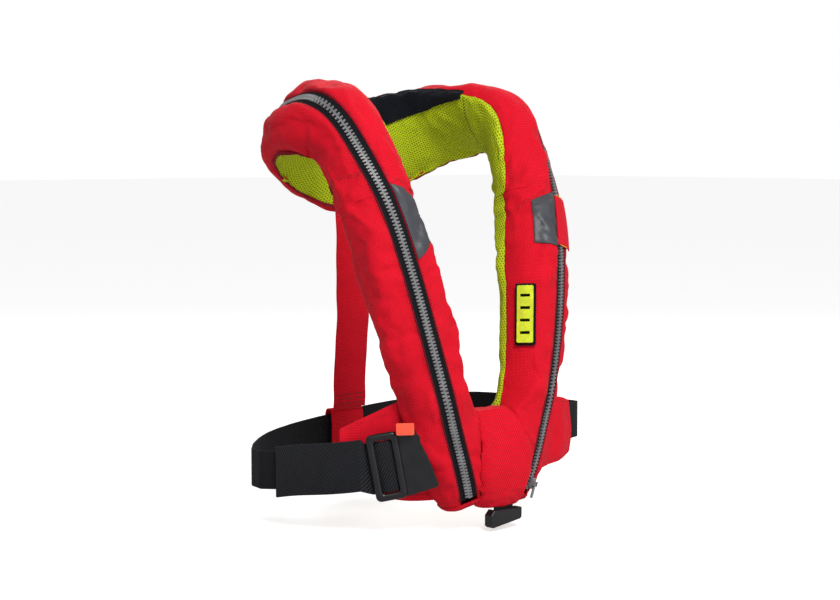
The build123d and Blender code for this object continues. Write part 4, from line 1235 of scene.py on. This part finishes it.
# stitched seams across the collar's lining and round the seams of the cover
for number, side in enumerate((1, -1)):
    lining_turns = np.linspace(LINING_EDGE + 4, LINING_BACK - 3, 26)
    seam_s = np.full(len(lining_turns), SEAM_SPOTS[side] + side * COLLAR_SEAM_OFF)
    cloth_stitches(f"lining_seam_{number}", seam_s, lining_turns, "dark_thread")
    for word, start, stop in (("out", LINING_BACK + 2, 348), ("in", 12, LINING_EDGE - 2)):
        turns = np.linspace(start, stop, 30)
        for row, off in enumerate((2.2 * MM, 4.4 * MM)):
            path_s = seam_length(side, turns) + off * side
            cloth_stitches(f"cover_seam_{word}_{number}_{row}", path_s, turns)

# stitch rows on the back strap's foot
strap_face = np.tile([0, -1.0, 0], (12, 1))
for row in range(3):
    z = strap_low.z + (5 + 5 * row) * MM
    y = np.interp(z, strap_z[::-1], strap_mid[::-1, 1]) - 1.5 * MM
    x = np.linspace(strap_low.x + 4 * MM, strap_high.x - 4 * MM, len(strap_face))
    line = np.stack([x, np.full_like(x, y), np.full_like(x, z)], 1)
    stitches(f"strap_foot_stitching_{row}", line, strap_face, MATERIALS["dark_thread"])

# ---------------------------------------------------------------- floor, light, camera
low, high = cad_box
centre = (low + high) / 2
bpy.ops.mesh.primitive_plane_add(size=40, location=(centre.x, centre.y, low.z - 4 * MM))
floor = bpy.context.object
floor.name = "floor"
FLOOR_GLOW = 0.60
floor_nodes = Nodes("floor_paper")
paper_tone = floor_nodes.colour(floor_nodes.noise(2), (0.60, 0.60, 0.60), (0.62, 0.62, 0.62))
paper = floor_nodes.finish(paper_tone, 0.9)
# the camera alone sees the paper's own glow, which hides the horizon
seen = floor_nodes.node("ShaderNodeLightPath").outputs["Is Camera Ray"]
glow = floor_nodes.math("MULTIPLY", seen, FLOOR_GLOW)
floor_nodes.link(glow, floor_nodes.shader.inputs["Emission Strength"])
floor_nodes.shader.inputs["Emission Color"].default_value = (1, 1, 1, 1)
floor.data.materials.append(paper)

world = bpy.data.worlds.new("studio")
world.use_nodes = True
backdrop = world.node_tree.nodes["Background"]
backdrop.inputs["Color"].default_value = (1, 1, 1, 1)
# the room is brighter to the camera than it is as a light, so that the cloth keeps its shading
seen = world.node_tree.nodes.new("ShaderNodeLightPath")
strength = world.node_tree.nodes.new("ShaderNodeMapRange")
ROOM_LIGHT, ROOM_SEEN = 0.52, 1.0
strength.inputs["To Min"].default_value = ROOM_LIGHT
strength.inputs["To Max"].default_value = ROOM_SEEN
world.node_tree.links.new(seen.outputs["Is Camera Ray"], strength.inputs["Value"])
world.node_tree.links.new(strength.outputs["Result"], backdrop.inputs["Strength"])
bpy.context.scene.world = world


def area_light(name, offset, size, power):
    """A square light at an offset from the jacket's centre, aimed at the centre."""
    light = bpy.data.lights.new(name, "AREA")
    light.size, light.energy = size, power
    lamp = bpy.data.objects.new(name, light)
    bpy.context.scene.collection.objects.link(lamp)
    lamp.location = centre + Vector(offset)
    lamp.rotation_euler = (centre - lamp.location).to_track_quat("-Z", "Y").to_euler()


area_light("key", (-0.7, -1.5, 1.4), 0.7, 38)
area_light("fill", (0.4, -1.8, 0.4), 1.2, 7)
area_light("rim", (1.0, 0.9, 1.2), 0.8, 14)

AZIMUTH, ELEVATION, DISTANCE = math.radians(-42.6), math.radians(4.6), 1.968
AIM = centre + Vector((-2.5, -8, -3)) * MM
back = Vector((
    math.sin(AZIMUTH) * math.cos(ELEVATION), -math.cos(AZIMUTH) * math.cos(ELEVATION), math.sin(ELEVATION)
))
lens = bpy.data.cameras.new("camera")
lens.lens = 79.6
camera = bpy.data.objects.new("camera", lens)
bpy.context.scene.collection.objects.link(camera)
camera.location = AIM + back * DISTANCE
camera.rotation_euler = (-back).to_track_quat("-Z", "Y").to_euler()
bpy.context.scene.camera = camera
bpy.context.scene.view_settings.view_transform = "Standard"
